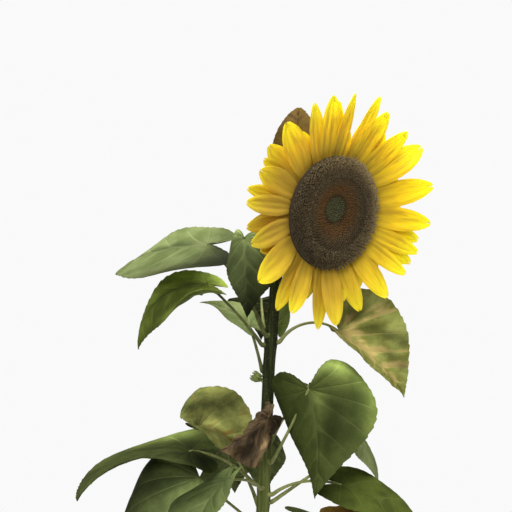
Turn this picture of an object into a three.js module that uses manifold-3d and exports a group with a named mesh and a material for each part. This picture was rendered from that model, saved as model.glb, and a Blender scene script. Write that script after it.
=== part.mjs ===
// A sunflower plant in flower, rooted in the ground, about one and a half metres tall.
// Millimetres, +Z up. The origin is the middle of the stem's flat cut at ground level.
// Azimuths are degrees round +Z from +X. The flower looks towards -Y and +X, a little down.
import * as THREE from "three";
import { mergeVertices } from "three/addons/utils/BufferGeometryUtils.js";
import Module from "manifold-3d";

const wasm = await Module();
wasm.setup();

// Stem: the middle of its section at rising heights, and its radius.
const STEM_LINE = [
  [0, 0, 0],
  [2, 0, 250],
  [-2, 0, 500],
  [4, 0, 760],
  [9, 0, 900],
  [17, 0, 1090],
  [26, 0, 1200],
  [33, 4, 1262],
];
const STEM_TOP = 1262;
const STEM_FOOT_RADIUS = 11;
const STEM_TOP_RADIUS = 7;
const FLARE = 6; // how much wider the foot is at the ground
const FLARE_HEIGHT = 22;
const STEM_RINGS = [0, 6, 14, 26, 45, 90, 160]; // heights of the flare's sections
const STEM_SIDES = 12;
const CLEAR = 0.4; // gap between neighbours that touch on the living plant

// Flower head: middle of the disc's rim, the way it looks, and its parts.
const HEAD = new THREE.Vector3(96, -40, 1291);
const HEAD_AXIS = new THREE.Vector3(0.609, -0.785, -0.116).normalize();
const DISC_RADIUS = 72;
const DISC_BACK = -2.2; // heights are along the head's axis from HEAD
const DISC_SIDES = 24;
const RECEPTACLE_FRONT = -6.2;
const RECEPTACLE_BACK = -38;
const NECK_RADIUS = 12; // where it joins the receptacle
const NECK_STRAIGHT = 26; // how far the neck holds its direction at either end

// Ray petals: two whorls, shorter where the real head has gaps.
const PETAL_THICK = 1.3;
const PETAL_CUP = 15; // degrees that a front petal rises towards the front
const PETAL_CUP_BACK = 9;
const PETAL_WIDTHS = [0.5, 0.94, 1, 0.7, 0.2]; // from root to tip
const PETAL_CHANNEL = 0.12; // how far the margins rise, for their distance from the middle
const PETAL_ROOT = 70; // radius where the petals leave their ring
const PETAL_SUNK = 0.4; // depth of the roots in the ring
const RING_INNER = 59;
const RING_OUTER = 74.5;
// A petal's clock angle, length and width.
const FRONT_PETALS = [
  [0, 84, 25],
  [17, 88, 20],
  [27, 77, 34],
  [44, 79, 32],
  [57, 90, 33],
  [77, 92, 34],
  [95, 93, 30],
  [111, 86, 24],
  [124, 82, 24],
  [140, 79, 32],
  [158, 71, 26],
  [178, 76, 32],
  [209, 71, 28],
  [239, 80, 34],
  [258, 75, 28],
  [277, 90, 24],
  [293, 74, 30],
  [316, 88, 32],
  [336, 80, 27],
  [347, 83, 30],
];
const BACK_PETALS = [
  [355, 72, 25],
  [6, 40, 22],
  [21, 64, 24],
  [36, 56, 28],
  [51, 70, 26],
  [68, 46, 28],
  [87, 48, 28],
  [104, 89, 26],
  [117, 88, 24],
  [132, 46, 26],
  [150, 46, 26],
  [168, 50, 26],
  [186, 80, 27],
  [198, 44, 26],
  [217, 76, 26],
  [229, 46, 26],
  [249, 51, 28],
  [266, 75, 26],
  [284, 77, 20],
  [299, 71, 22],
  [305, 74, 30],
  [327, 50, 26],
];

// Bracts: green scales round the receptacle's edge, behind the petals.
const BRACTS = 22;
const BRACT_LENGTH = 34;
const BRACT_WIDTH = 15;
const BRACT_WIDTHS = [0.85, 1, 0.12];
const BRACT_CHANNEL = 0.1;
const BRACT_THICK = 1.4;

// Side bud: an unopened bud on a short stalk, close to the stem.
const BUD_AT = 1068;
const BUD_SIDE = 186;
const BUD_PITCH = 32;
const BUD_SHAPE = [
  [0, 2],
  [3, 2.2],
  [6, 4.6],
  [10, 5.6],
  [14, 4.2],
  [18, 1],
]; // distance out and radius

// A leaf's half outline, from the stalk's joint round the basal lobe to the tip:
// along the midrib in blade lengths, and across in half widths.
const OUTLINE = [
  [0, 0],
  [-0.09, 0.1],
  [-0.18, 0.3],
  [-0.2, 0.52],
  [-0.12, 0.8],
  [0.04, 0.97],
  [0.2, 1],
  [0.38, 0.87],
  [0.55, 0.63],
  [0.71, 0.37],
  [0.86, 0.16],
  [1, 0],
];
const VEIN_SLANT = 0.9; // how far the side veins run forwards for their width
const STALK_FOOT = 4; // the stalk leaves the stem level for this far
const STALK_ROOT_RADIUS = 3.6;
const STALK_JOINT_RADIUS = 2.5;
const RIB_END = 0.16; // the stalk runs on under the blade to here, in blade lengths
const BLADE_THICK = 0.0125; // share of the blade's length
const LEAST_THICK = 1.6;
const RIPPLE = 0.02; // height of the margin's waves, in blade lengths
const RIPPLE_TURNS = 9;
const RIPPLE_STARTS = { left: 1.5, right: 4 };
const BLADE_STEPS = 8; // facets along the outline

// Colours of the parts.
const GREEN = 0x5c7a37;
const DARK_GREEN = 0x3f5527;
const GREY_GREEN = 0x83946a;
const YELLOW_GREEN = 0x9a9a4a;
const TAN = 0xa58f5c;
const BROWN = 0x6b5036;
const STEM_GREEN = 0x4a5c2d;
const PETAL_YELLOW = 0xf2c61e;
const DISC_BROWN = 0x4a3527;

// Leaves by hand, from the top down. at: height on the stem; side: azimuth where the stalk leaves it;
// stalk: its length; rise, crest: its pitch at the foot and at the joint; turn: its azimuth at the joint;
// heading, sway: the midrib's azimuth at the joint and its change by the tip; lift, fall: the midrib's
// pitch at the joint and at the tip; roll, twist: the blade's turn about the midrib and its change;
// fold, curl: how the halves rise at the midrib and at the margin; skew: how much wider the left half is.
const LEAVES = [
  { name: "leaf_behind_head", colour: BROWN, at: 1215, side: 72, stalk: 143, rise: 61, crest: 68,
    turn: 52, heading: 92, sway: -10, blade: 121, width: 74, lift: 100, fall: 8, roll: -3, fold: 18,
    curl: -22 },
  { name: "leaf_top_left", colour: GREEN, at: 1137, side: 168, stalk: 134, rise: 67, crest: 45,
    heading: 169, sway: -50, blade: 180, width: 148, lift: -3, fall: -30, roll: -21, twist: -8, fold: -8,
    curl: 17, skew: 0.27 },
  { name: "leaf_under_head", colour: DARK_GREEN, at: 1130, side: 229, stalk: 142, rise: 54, crest: 83,
    heading: 268, sway: 20, blade: 105, width: 109, lift: -49, fall: -86, roll: 8, twist: -8, fold: -18,
    curl: -75, skew: 0.34 },
  { name: "leaf_tan_right", colour: TAN, at: 1120, side: 14, stalk: 94, rise: 55, crest: -42, turn: 10,
    heading: -13, sway: -60, blade: 130, width: 127, lift: -33, fall: -34, roll: 25, twist: -15, fold: 26,
    curl: 42, skew: 0.22 },
  { name: "leaf_arched_left", colour: DARK_GREEN, at: 1117, side: 196, stalk: 110, rise: 55, crest: 42,
    heading: 180, sway: -3, blade: 139, width: 150, lift: 2, fall: -90, roll: -5, twist: -28, fold: -17,
    curl: 30, skew: 0.23 },
  { name: "leaf_small_right", colour: GREEN, at: 1106, side: 66, stalk: 34, rise: 60, crest: 80,
    heading: 44, blade: 70, width: 38, lift: 74, fall: 68, fold: 10, curl: -5 },
  { name: "leaf_small_left", colour: GREEN, at: 1080, side: 134, stalk: 62, rise: 70, crest: 69,
    heading: 154, blade: 82, width: 50, lift: 40, fall: -1, roll: -15, fold: 23, curl: -6 },
  { name: "leaf_withered", colour: BROWN, at: 1040, side: -84, stalk: 59, rise: 11, crest: -14,
    turn: -103, heading: 206, sway: 8, blade: 79, width: 96, lift: -37, fall: -15, roll: -80, twist: 46,
    fold: -25, curl: -96, skew: 0.67 },
  { name: "leaf_yellowing", colour: YELLOW_GREEN, at: 965, side: 218, stalk: 113, rise: 39, crest: 23,
    turn: 222, heading: 14, sway: 14, blade: 83, width: 129, lift: -7, fall: -66, roll: 5, twist: 82,
    fold: 29, skew: 0.31 },
  { name: "leaf_front_right", colour: GREEN, at: 962, side: -42, stalk: 121, rise: 57, crest: 64,
    heading: -34, sway: -90, blade: 136, width: 155, lift: -75, fall: -68, roll: 71, twist: -49, fold: -2,
    curl: -58, skew: 0.13 },
  { name: "leaf_long_left", colour: GREEN, at: 930, side: 184, stalk: 102, rise: 50, crest: 10, turn: 208,
    heading: 193, sway: 67, blade: 194, width: 190, lift: 5, fall: -18, roll: -2, twist: 46, fold: 0,
    curl: -6, skew: -0.2 },
  { name: "leaf_grey_front", colour: GREY_GREEN, at: 927, side: 252, stalk: 97, rise: 35, crest: 10,
    turn: 222, heading: 209, sway: 53, blade: 113, width: 125, lift: -34, fall: -54, roll: 20, twist: -3,
    fold: 16, curl: -14, skew: -0.3 },
  { name: "leaf_behind_stem", colour: DARK_GREEN, at: 925, side: 96, stalk: 79, rise: 62, crest: 32,
    heading: 82, sway: 20, blade: 110, width: 84, lift: -54, fall: -102, roll: 19, fold: -5, curl: -30 },
  { name: "leaf_low_right", colour: DARK_GREEN, at: 917, side: -22, stalk: 100, rise: 40, crest: -12,
    heading: -17, blade: 160, width: 84, lift: -6, fall: -74, roll: 15, curl: -15 },
  { name: "leaf_pale_right", colour: GREEN, at: 905, side: 8, stalk: 145, rise: 33, crest: 33, turn: 4,
    heading: -22, blade: 67, width: 90, lift: -48, fall: -93, roll: -10, fold: 0, curl: -20 },
  { name: "leaf_broad_left", colour: DARK_GREEN, at: 877, side: 206, stalk: 99, rise: 46, crest: 36,
    turn: 149, heading: 259, sway: -54, blade: 236, width: 190, lift: -47, fall: -88, roll: -25,
    twist: -56, fold: -4, curl: -99, skew: -0.35 },
  { name: "leaf_brown_low", colour: BROWN, at: 838, side: -25, stalk: 110, rise: 45, crest: 10,
    heading: -25, blade: 170, width: 120, lift: -10, fall: -80, roll: 10, fold: 10, curl: -20 },
  { name: "leaf_back_high", colour: GREEN, at: 1172, side: 62, stalk: 95, rise: 62, crest: 30,
    heading: 55, blade: 150, width: 112, lift: 0, fall: -62, fold: 14, curl: -12 },
  { name: "leaf_back_left", colour: DARK_GREEN, at: 1098, side: 102, stalk: 93, rise: 65, crest: 33,
    heading: 90, blade: 109, width: 95, lift: -14, fall: -71, roll: -4, fold: 14, curl: -12 },
  { name: "leaf_back_right", colour: DARK_GREEN, at: 985, side: 52, stalk: 112, rise: 48, crest: 16,
    heading: 58, blade: 150, width: 122, lift: -24, fall: -80, fold: 10, curl: -15 },
  { name: "leaf_back_mid", colour: DARK_GREEN, at: 897, side: 120, stalk: 126, rise: 51, crest: 10,
    turn: 112, heading: 74, blade: 108, width: 110, lift: -50, fall: -72, roll: -6, fold: 12, curl: -15 },
];

// Lower leaves: one after another down the stem, each turned on by the same angle.
const LOWER_LEAVES = 14;
const LOWER_FIRST = 800;
const LOWER_STEP = 46;
const LOWER_FIRST_SIDE = 30;
const LOWER_TURN = 137.5;

// The defaults of a leaf's shape.
const PLAIN = { sway: 0, roll: 0, twist: 0, fold: 15, curl: -10, skew: 0 };

const rad = THREE.MathUtils.degToRad;
const lerp = THREE.MathUtils.lerp;

function direction(azimuth, pitch) {
  const a = rad(azimuth);
  const p = rad(pitch);
  return new THREE.Vector3(Math.cos(p) * Math.cos(a), Math.cos(p) * Math.sin(a), Math.sin(p));
}

function stemCentre(z) {
  const i = Math.max(1, STEM_LINE.findIndex((p) => p[2] >= z));
  const [a, b] = [new THREE.Vector3(...STEM_LINE[i - 1]), new THREE.Vector3(...STEM_LINE[i])];
  return a.lerp(b, (z - a.z) / (b.z - a.z));
}

function stemRadius(z) {
  return lerp(STEM_FOOT_RADIUS, STEM_TOP_RADIUS, z / STEM_TOP) + FLARE * Math.exp(-z / FLARE_HEIGHT);
}

// A closed solid from points and triangles, with the faces turned outwards.
function solid(points, triangles) {
  const geometry = new THREE.BufferGeometry().setFromPoints(points);
  geometry.setIndex(triangles.flat());
  const merged = mergeVertices(geometry, 1e-3);
  const index = merged.index.array;
  const kept = [];
  for (let i = 0; i < index.length; i += 3) {
    const [a, b, c] = index.slice(i, i + 3);
    if (a !== b && b !== c && c !== a) kept.push(a, b, c);
  }
  const make = (corners) =>
    new wasm.Manifold(
      new wasm.Mesh({
        numProp: 3,
        vertProperties: merged.attributes.position.array,
        triVerts: new Uint32Array(corners),
      }),
    );
  const made = make(kept);
  return made.volume() < 0 ? make(kept.reverse()) : made;
}

// A tapering tube. Each ring has a middle, a radius and the normal of its plane.
function tube(rings, sides) {
  const points = [];
  const triangles = [];
  for (const { middle, radius, normal } of rings) {
    const level = Math.abs(normal.z) < 0.95 ? new THREE.Vector3(0, 0, 1) : new THREE.Vector3(0, 1, 0);
    const across = level.cross(normal).normalize();
    const up = normal.clone().cross(across).normalize();
    for (let k = 0; k < sides; k++) {
      const turn = (2 * Math.PI * k) / sides;
      const spoke = across.clone().multiplyScalar(Math.cos(turn)).addScaledVector(up, Math.sin(turn));
      points.push(middle.clone().addScaledVector(spoke, radius));
    }
  }
  for (let i = 0; i < rings.length - 1; i++) {
    for (let k = 0; k < sides; k++) {
      const [a, b] = [i * sides + k, i * sides + ((k + 1) % sides)];
      triangles.push([a, b, b + sides], [a, b + sides, a + sides]);
    }
  }
  const last = (rings.length - 1) * sides;
  for (let k = 1; k < sides - 1; k++) {
    triangles.push([0, k + 1, k], [last, last + k, last + k + 1]);
  }
  return solid(points, triangles);
}

// Turns a profile round the head's axis: pairs of radius and height, from axis to axis.
function turned(profile, sides) {
  const lathe = new THREE.LatheGeometry(
    profile.map(([r, h]) => new THREE.Vector2(r, h)),
    sides,
  );
  lathe.applyMatrix4(headMatrix());
  return fromGeometry(lathe);
}

function fromGeometry(geometry) {
  const position = geometry.getAttribute("position");
  const points = [];
  for (let i = 0; i < position.count; i++) points.push(new THREE.Vector3().fromBufferAttribute(position, i));
  const triangles = [];
  const index = geometry.index.array;
  for (let i = 0; i < index.length; i += 3) triangles.push([index[i], index[i + 1], index[i + 2]]);
  return solid(points, triangles);
}

// The head's own frame: Y along its axis, Z towards the twelve o'clock petal.
function headMatrix() {
  const right = new THREE.Vector3(0, 0, 1).cross(HEAD_AXIS).normalize();
  const twelve = HEAD_AXIS.clone().cross(right);
  return new THREE.Matrix4().makeBasis(right, HEAD_AXIS, twelve).setPosition(HEAD);
}

function onHead(clock, radius, height, aside = 0) {
  const c = rad(clock);
  const out = new THREE.Vector3(Math.sin(c), 0, Math.cos(c));
  const side = new THREE.Vector3(Math.cos(c), 0, -Math.sin(c));
  return out
    .multiplyScalar(radius)
    .addScaledVector(side, aside)
    .add(new THREE.Vector3(0, height, 0))
    .applyMatrix4(headMatrix());
}

// Catmull-Rom curve through flat points, with its ends carried straight on.
function smooth(points, t) {
  const spans = points.length - 1;
  const f = THREE.MathUtils.clamp(t, 0, 1) * spans;
  const i = Math.min(Math.floor(f), spans - 1);
  const u = f - i;
  const p1 = points[i];
  const p2 = points[i + 1];
  const p0 = points[i - 1] ?? p1.map((v, k) => 2 * v - p2[k]);
  const p3 = points[i + 2] ?? p2.map((v, k) => 2 * v - p1[k]);
  return p1.map(
    (v, k) =>
      0.5 *
      (2 * v +
        (p2[k] - p0[k]) * u +
        (2 * p0[k] - 5 * v + 4 * p2[k] - p3[k]) * u * u +
        (3 * v - p0[k] - 3 * p2[k] + p3[k]) * u ** 3),
  );
}

// A leaf's stalk and midrib as points in space, and its blade as a bent sheet.
class Leaf {
  static STEPS = 48;
  static BACK = 14; // steps that the midrib's line runs on behind the joint, for the basal lobes
  static STALK_STEPS = 9;

  constructor(row) {
    Object.assign(this, PLAIN, row);
    this.turn ??= this.heading;
    this.wall = direction(this.side, 0);
    const reach = stemRadius(this.at) + CLEAR;
    const foot = stemCentre(this.at).addScaledVector(this.wall, reach);
    this.stalkLine = [foot, foot.clone().addScaledVector(this.wall, STALK_FOOT)];
    for (let i = 0; i < Leaf.STALK_STEPS; i++) {
      const s = (i + 0.5) / Leaf.STALK_STEPS;
      const azimuth = lerp(this.side, this.turn, s * s);
      const step = direction(azimuth, lerp(this.rise, this.crest, s)).multiplyScalar(
        this.stalk / Leaf.STALK_STEPS,
      );
      this.stalkLine.push(this.stalkLine.at(-1).clone().add(step));
    }
    const pace = this.blade / Leaf.STEPS;
    this.line = [this.stalkLine.at(-1).clone()];
    for (let i = 0; i < Leaf.BACK; i++) {
      const step = this.along(-(i + 0.5) / Leaf.STEPS).multiplyScalar(-pace);
      this.line.unshift(this.line[0].clone().add(step));
    }
    for (let i = 0; i < Leaf.STEPS; i++) {
      const step = this.along((i + 0.5) / Leaf.STEPS).multiplyScalar(pace);
      this.line.push(this.line.at(-1).clone().add(step));
    }
  }

  along(s) {
    return direction(this.heading + this.sway * s, lerp(this.lift, this.fall, s));
  }

  centre(s) {
    const f = THREE.MathUtils.clamp(s * Leaf.STEPS + Leaf.BACK, 0, this.line.length - 1.001);
    const i = Math.floor(f);
    return this.line[i].clone().lerp(this.line[i + 1], f - i);
  }

  // The surface at flat place x, y: its point and its normal.
  place(x, y) {
    const s = x / this.blade;
    const sign = y > 0 ? 1 : -1;
    const half = this.half(sign);
    const a = rad(this.heading + this.sway * s);
    const flatAcross = new THREE.Vector3(-Math.sin(a), Math.cos(a), 0);
    const flatUp = this.along(s).cross(flatAcross);
    const turn = rad(this.roll + this.twist * s);
    const across = flatAcross.clone().multiplyScalar(Math.cos(turn)).addScaledVector(flatUp, Math.sin(turn));
    const up = flatUp.multiplyScalar(Math.cos(turn)).addScaledVector(flatAcross, -Math.sin(turn));
    const d = Math.abs(y);
    const start = rad(this.fold);
    const bend = (rad(this.curl) - start) / half;
    const straight = Math.abs(bend) < 1e-6;
    const end = start + bend * d;
    const out = straight ? d * Math.cos(start) : (Math.sin(end) - Math.sin(start)) / bend;
    const phase = sign > 0 ? RIPPLE_STARTS.left : RIPPLE_STARTS.right;
    const wave = RIPPLE * this.blade * (d / half) ** 2 * Math.sin(RIPPLE_TURNS * s + phase);
    const rise = (straight ? d * Math.sin(start) : (Math.cos(start) - Math.cos(end)) / bend) + wave;
    const lean = end * Math.min(1, (6 * d) / half) * sign;
    const normal = up.clone().multiplyScalar(Math.cos(lean)).addScaledVector(across, -Math.sin(lean));
    const point = this.centre(s).addScaledVector(across, out * sign).addScaledVector(up, rise);
    return { point, normal };
  }

  half(sign) {
    return (this.width / 2) * (1 + this.skew * sign);
  }

  // The flat place of s along the outline and v from midrib to margin.
  flat(s, v, sign) {
    const [x, y] = smooth(OUTLINE, s);
    const marginX = x * this.blade;
    const marginY = Math.max(y, 0) * this.half(sign);
    const veinX = s > 0.999 ? marginX : Math.max(0, marginX - VEIN_SLANT * marginY);
    return [lerp(veinX, marginX, v), marginY * v * sign];
  }

  bladeSolid(lengthwise, crosswise) {
    const thick = Math.max(LEAST_THICK, BLADE_THICK * this.blade);
    const columns = 2 * crosswise + 1;
    const points = [];
    for (let i = 0; i <= lengthwise; i++) {
      for (let j = -crosswise; j <= crosswise; j++) {
        const [x, y] = this.flat(i / lengthwise, Math.abs(j) / crosswise, Math.sign(j));
        const { point, normal } = this.place(x, y);
        points.push(point.clone().addScaledVector(normal, thick / 2));
        points.push(point.addScaledVector(normal, -thick / 2));
      }
    }
    const at = (i, j, side) => 2 * (i * columns + j) + side;
    const end = columns - 1;
    const triangles = [];
    const quad = (a, b, c, d) => triangles.push([a, b, c], [a, c, d]);
    for (let i = 0; i < lengthwise; i++) {
      for (let j = 0; j < end; j++) {
        quad(at(i, j, 0), at(i + 1, j, 0), at(i + 1, j + 1, 0), at(i, j + 1, 0));
        quad(at(i, j, 1), at(i, j + 1, 1), at(i + 1, j + 1, 1), at(i + 1, j, 1));
      }
      quad(at(i, 0, 0), at(i, 0, 1), at(i + 1, 0, 1), at(i + 1, 0, 0));
      quad(at(i, end, 0), at(i + 1, end, 0), at(i + 1, end, 1), at(i, end, 1));
    }
    return solid(points, triangles);
  }

  // The stalk, its foot flat against the stem and its end running into the midrib.
  stalkSolid(sides) {
    const rings = [{ middle: this.stalkLine[0], radius: STALK_ROOT_RADIUS, normal: this.wall }];
    for (let i = 1; i <= Leaf.STALK_STEPS + 1; i += 3) {
      const middle = this.stalkLine[i];
      const before = middle.clone().sub(this.stalkLine[i - 1]).normalize();
      const after = (this.stalkLine[i + 1] ?? this.centre(0.1)).clone().sub(middle).normalize();
      const radius = lerp(STALK_ROOT_RADIUS, STALK_JOINT_RADIUS, (i - 1) / Leaf.STALK_STEPS);
      rings.push({ middle, radius, normal: before.add(after).normalize() });
    }
    rings.push({ middle: this.centre(RIB_END), radius: STALK_JOINT_RADIUS / 2, normal: this.along(RIB_END) });
    return tube(rings, sides);
  }
}

// One lower leaf: they grow larger and hang lower and drier down the stem.
function lowerLeaf(i) {
  const age = i / (LOWER_LEAVES - 1);
  const side = (LOWER_FIRST_SIDE + LOWER_TURN * i) % 360;
  const colour = new THREE.Color(DARK_GREEN).lerp(new THREE.Color(BROWN), Math.max(0, age - 0.5) * 2);
  return {
    name: "leaf_lower_" + String(i + 1).padStart(2, "0"),
    colour,
    at: LOWER_FIRST - LOWER_STEP * i,
    side,
    stalk: lerp(118, 96, age),
    rise: lerp(42, 22, age),
    crest: lerp(8, -30, age),
    heading: side + 6,
    blade: lerp(215, 165, age) + 12 * Math.sin(5 * i),
    width: lerp(180, 105, age) + 10 * Math.cos(3 * i),
    lift: lerp(-24, -48, age),
    fall: lerp(-78, -94, age),
    roll: 12 * Math.sin(2 * i),
    fold: lerp(12, 26, age),
    curl: lerp(-16, 20, age),
  };
}

function stemSolid() {
  const heights = [...STEM_RINGS, ...STEM_LINE.slice(1).map((p) => p[2])];
  const up = new THREE.Vector3(0, 0, 1);
  const rings = heights.map((z) => ({ middle: stemCentre(z), radius: stemRadius(z), normal: up }));
  return tube(rings, STEM_SIDES);
}

// The neck bends over from the stem's tip to the back of the head.
function neckSolid() {
  const foot = stemCentre(STEM_TOP).add(new THREE.Vector3(0, 0, CLEAR));
  const end = onHead(0, 0, RECEPTACLE_BACK - CLEAR);
  const curve = new THREE.CubicBezierCurve3(
    foot,
    foot.clone().addScaledVector(new THREE.Vector3(0.15, 0.08, 1), NECK_STRAIGHT),
    end.clone().addScaledVector(HEAD_AXIS, -NECK_STRAIGHT),
    end,
  );
  const rings = [];
  const steps = 8;
  for (let i = 0; i <= steps; i++) {
    const t = i / steps;
    const normal = i === 0 ? new THREE.Vector3(0, 0, 1) : curve.getTangent(t);
    rings.push({ middle: curve.getPoint(t), radius: lerp(STEM_TOP_RADIUS, NECK_RADIUS, t * t), normal });
  }
  return tube(rings, STEM_SIDES);
}

// A pointed strip that leaves the head at a clock angle, thin and slightly channelled.
function ray({ clock, root, length, width, height, cup, lift, thick, widths, channel }) {
  const points = [];
  const steps = widths.length - 1;
  let radius = root;
  let level = height;
  for (let i = 0; i <= steps; i++) {
    const s = i / steps;
    const pitch = rad(cup + lift * s);
    if (i > 0) {
      radius += (length / steps) * Math.cos(pitch);
      level += (length / steps) * Math.sin(pitch);
    }
    const half = (width / 2) * widths[i];
    for (const side of [-1, 0, 1]) {
      const edge = Math.abs(side) * channel * half;
      points.push(onHead(clock, radius, level + edge + thick / 2, side * half));
      points.push(onHead(clock, radius, level + edge - thick / 2, side * half));
    }
  }
  const at = (i, j, k) => 2 * (3 * i + j) + k;
  const triangles = [];
  const quad = (a, b, c, d) => triangles.push([a, b, c], [a, c, d]);
  for (let i = 0; i < steps; i++) {
    for (const j of [0, 1]) {
      quad(at(i, j, 0), at(i + 1, j, 0), at(i + 1, j + 1, 0), at(i, j + 1, 0));
      quad(at(i, j, 1), at(i, j + 1, 1), at(i + 1, j + 1, 1), at(i + 1, j, 1));
    }
    quad(at(i, 0, 0), at(i, 0, 1), at(i + 1, 0, 1), at(i + 1, 0, 0));
    quad(at(i, 2, 0), at(i + 1, 2, 0), at(i + 1, 2, 1), at(i, 2, 1));
  }
  for (const j of [0, 1]) {
    quad(at(0, j, 0), at(0, j + 1, 0), at(0, j + 1, 1), at(0, j, 1));
    quad(at(steps, j, 0), at(steps, j, 1), at(steps, j + 1, 1), at(steps, j + 1, 0));
  }
  return solid(points, triangles);
}

// The ray petals stand on one flat ring between receptacle and disc.
function petalSolid() {
  const ringFront = DISC_BACK - CLEAR;
  const ringBack = RECEPTACLE_FRONT + CLEAR;
  let made = turned(
    [
      [RING_INNER, ringBack],
      [RING_OUTER, ringBack],
      [RING_OUTER, ringFront],
      [RING_INNER, ringFront],
      [RING_INNER, ringBack],
    ],
    DISC_SIDES,
  );
  const whorl = (petals, height, cup) =>
    petals.forEach(([clock, length, width], i) => {
      made = made.add(
        ray({
          clock,
          root: PETAL_ROOT,
          length,
          width,
          height,
          cup: cup + 1.2 * Math.sin(3.1 * i),
          lift: 3 * Math.cos(2.2 * i),
          thick: PETAL_THICK,
          widths: PETAL_WIDTHS,
          channel: PETAL_CHANNEL,
        }),
      );
    });
  const sunk = PETAL_SUNK + PETAL_THICK / 2;
  whorl(FRONT_PETALS, ringFront - sunk, PETAL_CUP);
  whorl(BACK_PETALS, ringBack + sunk, PETAL_CUP_BACK);
  return made;
}

function receptacleSolid() {
  let made = turned(
    [
      [0, RECEPTACLE_BACK],
      [NECK_RADIUS + 1, RECEPTACLE_BACK],
      [NECK_RADIUS + 16, RECEPTACLE_BACK + 5],
      [DISC_RADIUS - 22, RECEPTACLE_BACK + 14],
      [DISC_RADIUS - 5, RECEPTACLE_FRONT - 8],
      [DISC_RADIUS, RECEPTACLE_FRONT - 3],
      [DISC_RADIUS - 1, RECEPTACLE_FRONT],
      [0, RECEPTACLE_FRONT],
    ],
    DISC_SIDES,
  );
  for (let i = 0; i < BRACTS; i++) {
    made = made.add(
      ray({
        clock: (360 * (i + 0.5)) / BRACTS,
        root: DISC_RADIUS - 8,
        length: BRACT_LENGTH + 4 * Math.sin(2.1 * i),
        width: BRACT_WIDTH,
        height: RECEPTACLE_FRONT - 5,
        cup: -4 + 3 * Math.cos(1.3 * i),
        lift: 6,
        thick: BRACT_THICK,
        widths: BRACT_WIDTHS,
        channel: BRACT_CHANNEL,
      }),
    );
  }
  return made;
}

// The disc: a low cushion with a raised rim and a shallow dip at its middle.
function discSolid() {
  return turned(
    [
      [0, DISC_BACK],
      [DISC_RADIUS - 4, DISC_BACK],
      [DISC_RADIUS, 1],
      [DISC_RADIUS - 3, 6],
      [DISC_RADIUS - 14, 11],
      [DISC_RADIUS - 32, 12],
      [20, 9],
      [9, 7.5],
      [0, 8],
    ],
    DISC_SIDES,
  );
}

// The bud's foot is flat against the stem, and the rest leans upwards.
function budSolid() {
  const side = direction(BUD_SIDE, 0);
  const along = direction(BUD_SIDE, BUD_PITCH);
  const root = stemCentre(BUD_AT).addScaledVector(side, stemRadius(BUD_AT) + CLEAR);
  const rings = BUD_SHAPE.map(([out, radius], i) => ({
    middle: root.clone().addScaledVector(along, out),
    radius,
    normal: i === 0 ? side : along,
  }));
  return tube(rings, 8);
}

function mesh(name, made, colour, roughness) {
  const shape = made.getMesh();
  const geometry = new THREE.BufferGeometry();
  geometry.setAttribute("position", new THREE.BufferAttribute(new Float32Array(shape.vertProperties), 3));
  geometry.setIndex(new THREE.BufferAttribute(new Uint32Array(shape.triVerts), 1));
  geometry.computeVertexNormals();
  const material = new THREE.MeshStandardMaterial({ color: colour, roughness, metalness: 0 });
  const piece = new THREE.Mesh(geometry, material);
  piece.name = name;
  return piece;
}

const plant = new THREE.Group();
plant.add(mesh("stem", stemSolid(), STEM_GREEN, 0.8));
plant.add(mesh("side_bud", budSolid(), GREEN, 0.8));

const head = new THREE.Group();
head.add(mesh("neck", neckSolid(), STEM_GREEN, 0.8));
head.add(mesh("receptacle", receptacleSolid(), GREEN, 0.8));
head.add(mesh("ray_petals", petalSolid(), PETAL_YELLOW, 0.6));
head.add(mesh("disc", discSolid(), DISC_BROWN, 0.95));
plant.add(head);

const rows = [...LEAVES, ...Array.from({ length: LOWER_LEAVES }, (_, i) => lowerLeaf(i))];
for (const row of rows) {
  const leaf = new Leaf(row);
  plant.add(mesh(row.name, leaf.bladeSolid(BLADE_STEPS, 2).add(leaf.stalkSolid(5)), row.colour, 0.75));
}

export default plant;
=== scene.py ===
"""A sunflower plant in flower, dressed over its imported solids.

Metres, +Z up, with the foot of the stem at the origin. The sizes of leaves, bud, neck and head are in
millimetres, and their points become metres where a mesh is made of them.
"""

import math

import bpy
import numpy as np
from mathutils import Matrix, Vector, noise


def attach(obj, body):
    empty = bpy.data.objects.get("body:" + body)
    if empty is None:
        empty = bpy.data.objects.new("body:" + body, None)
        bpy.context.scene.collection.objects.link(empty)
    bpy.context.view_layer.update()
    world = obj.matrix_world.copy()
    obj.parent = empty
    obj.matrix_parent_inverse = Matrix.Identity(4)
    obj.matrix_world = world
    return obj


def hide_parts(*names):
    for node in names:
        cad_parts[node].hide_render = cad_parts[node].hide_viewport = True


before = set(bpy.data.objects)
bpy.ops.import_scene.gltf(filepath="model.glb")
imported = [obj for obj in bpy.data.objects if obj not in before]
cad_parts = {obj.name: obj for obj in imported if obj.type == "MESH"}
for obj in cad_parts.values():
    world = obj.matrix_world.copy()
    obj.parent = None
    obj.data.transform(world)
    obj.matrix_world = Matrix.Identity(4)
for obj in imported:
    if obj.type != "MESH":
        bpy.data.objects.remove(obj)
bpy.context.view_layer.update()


# Camera: a long lens level with the upper leaves, 1.3 m in front of the stem and turned 5 degrees down.
# Its picture takes in the upper half metre of the plant.
CAMERA_AIM = Vector((0, 0, 1.233))
CAMERA_DISTANCE = 1.3
CAMERA_TILT = math.radians(5)
PICTURE_WIDTH = 512
FOCAL_PIXELS = 1000
SENSOR_WIDTH = 36

camera_back = Vector((0, -math.cos(CAMERA_TILT), math.sin(CAMERA_TILT)))
bpy.ops.object.camera_add(
    location=CAMERA_AIM + camera_back * CAMERA_DISTANCE,
    rotation=(math.pi / 2 - CAMERA_TILT, 0, 0),
)
camera = bpy.context.object
camera.data.sensor_width = SENSOR_WIDTH
camera.data.lens = SENSOR_WIDTH * FOCAL_PIXELS / PICTURE_WIDTH
camera.data.clip_start = 0.01
bpy.context.scene.camera = camera


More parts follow.
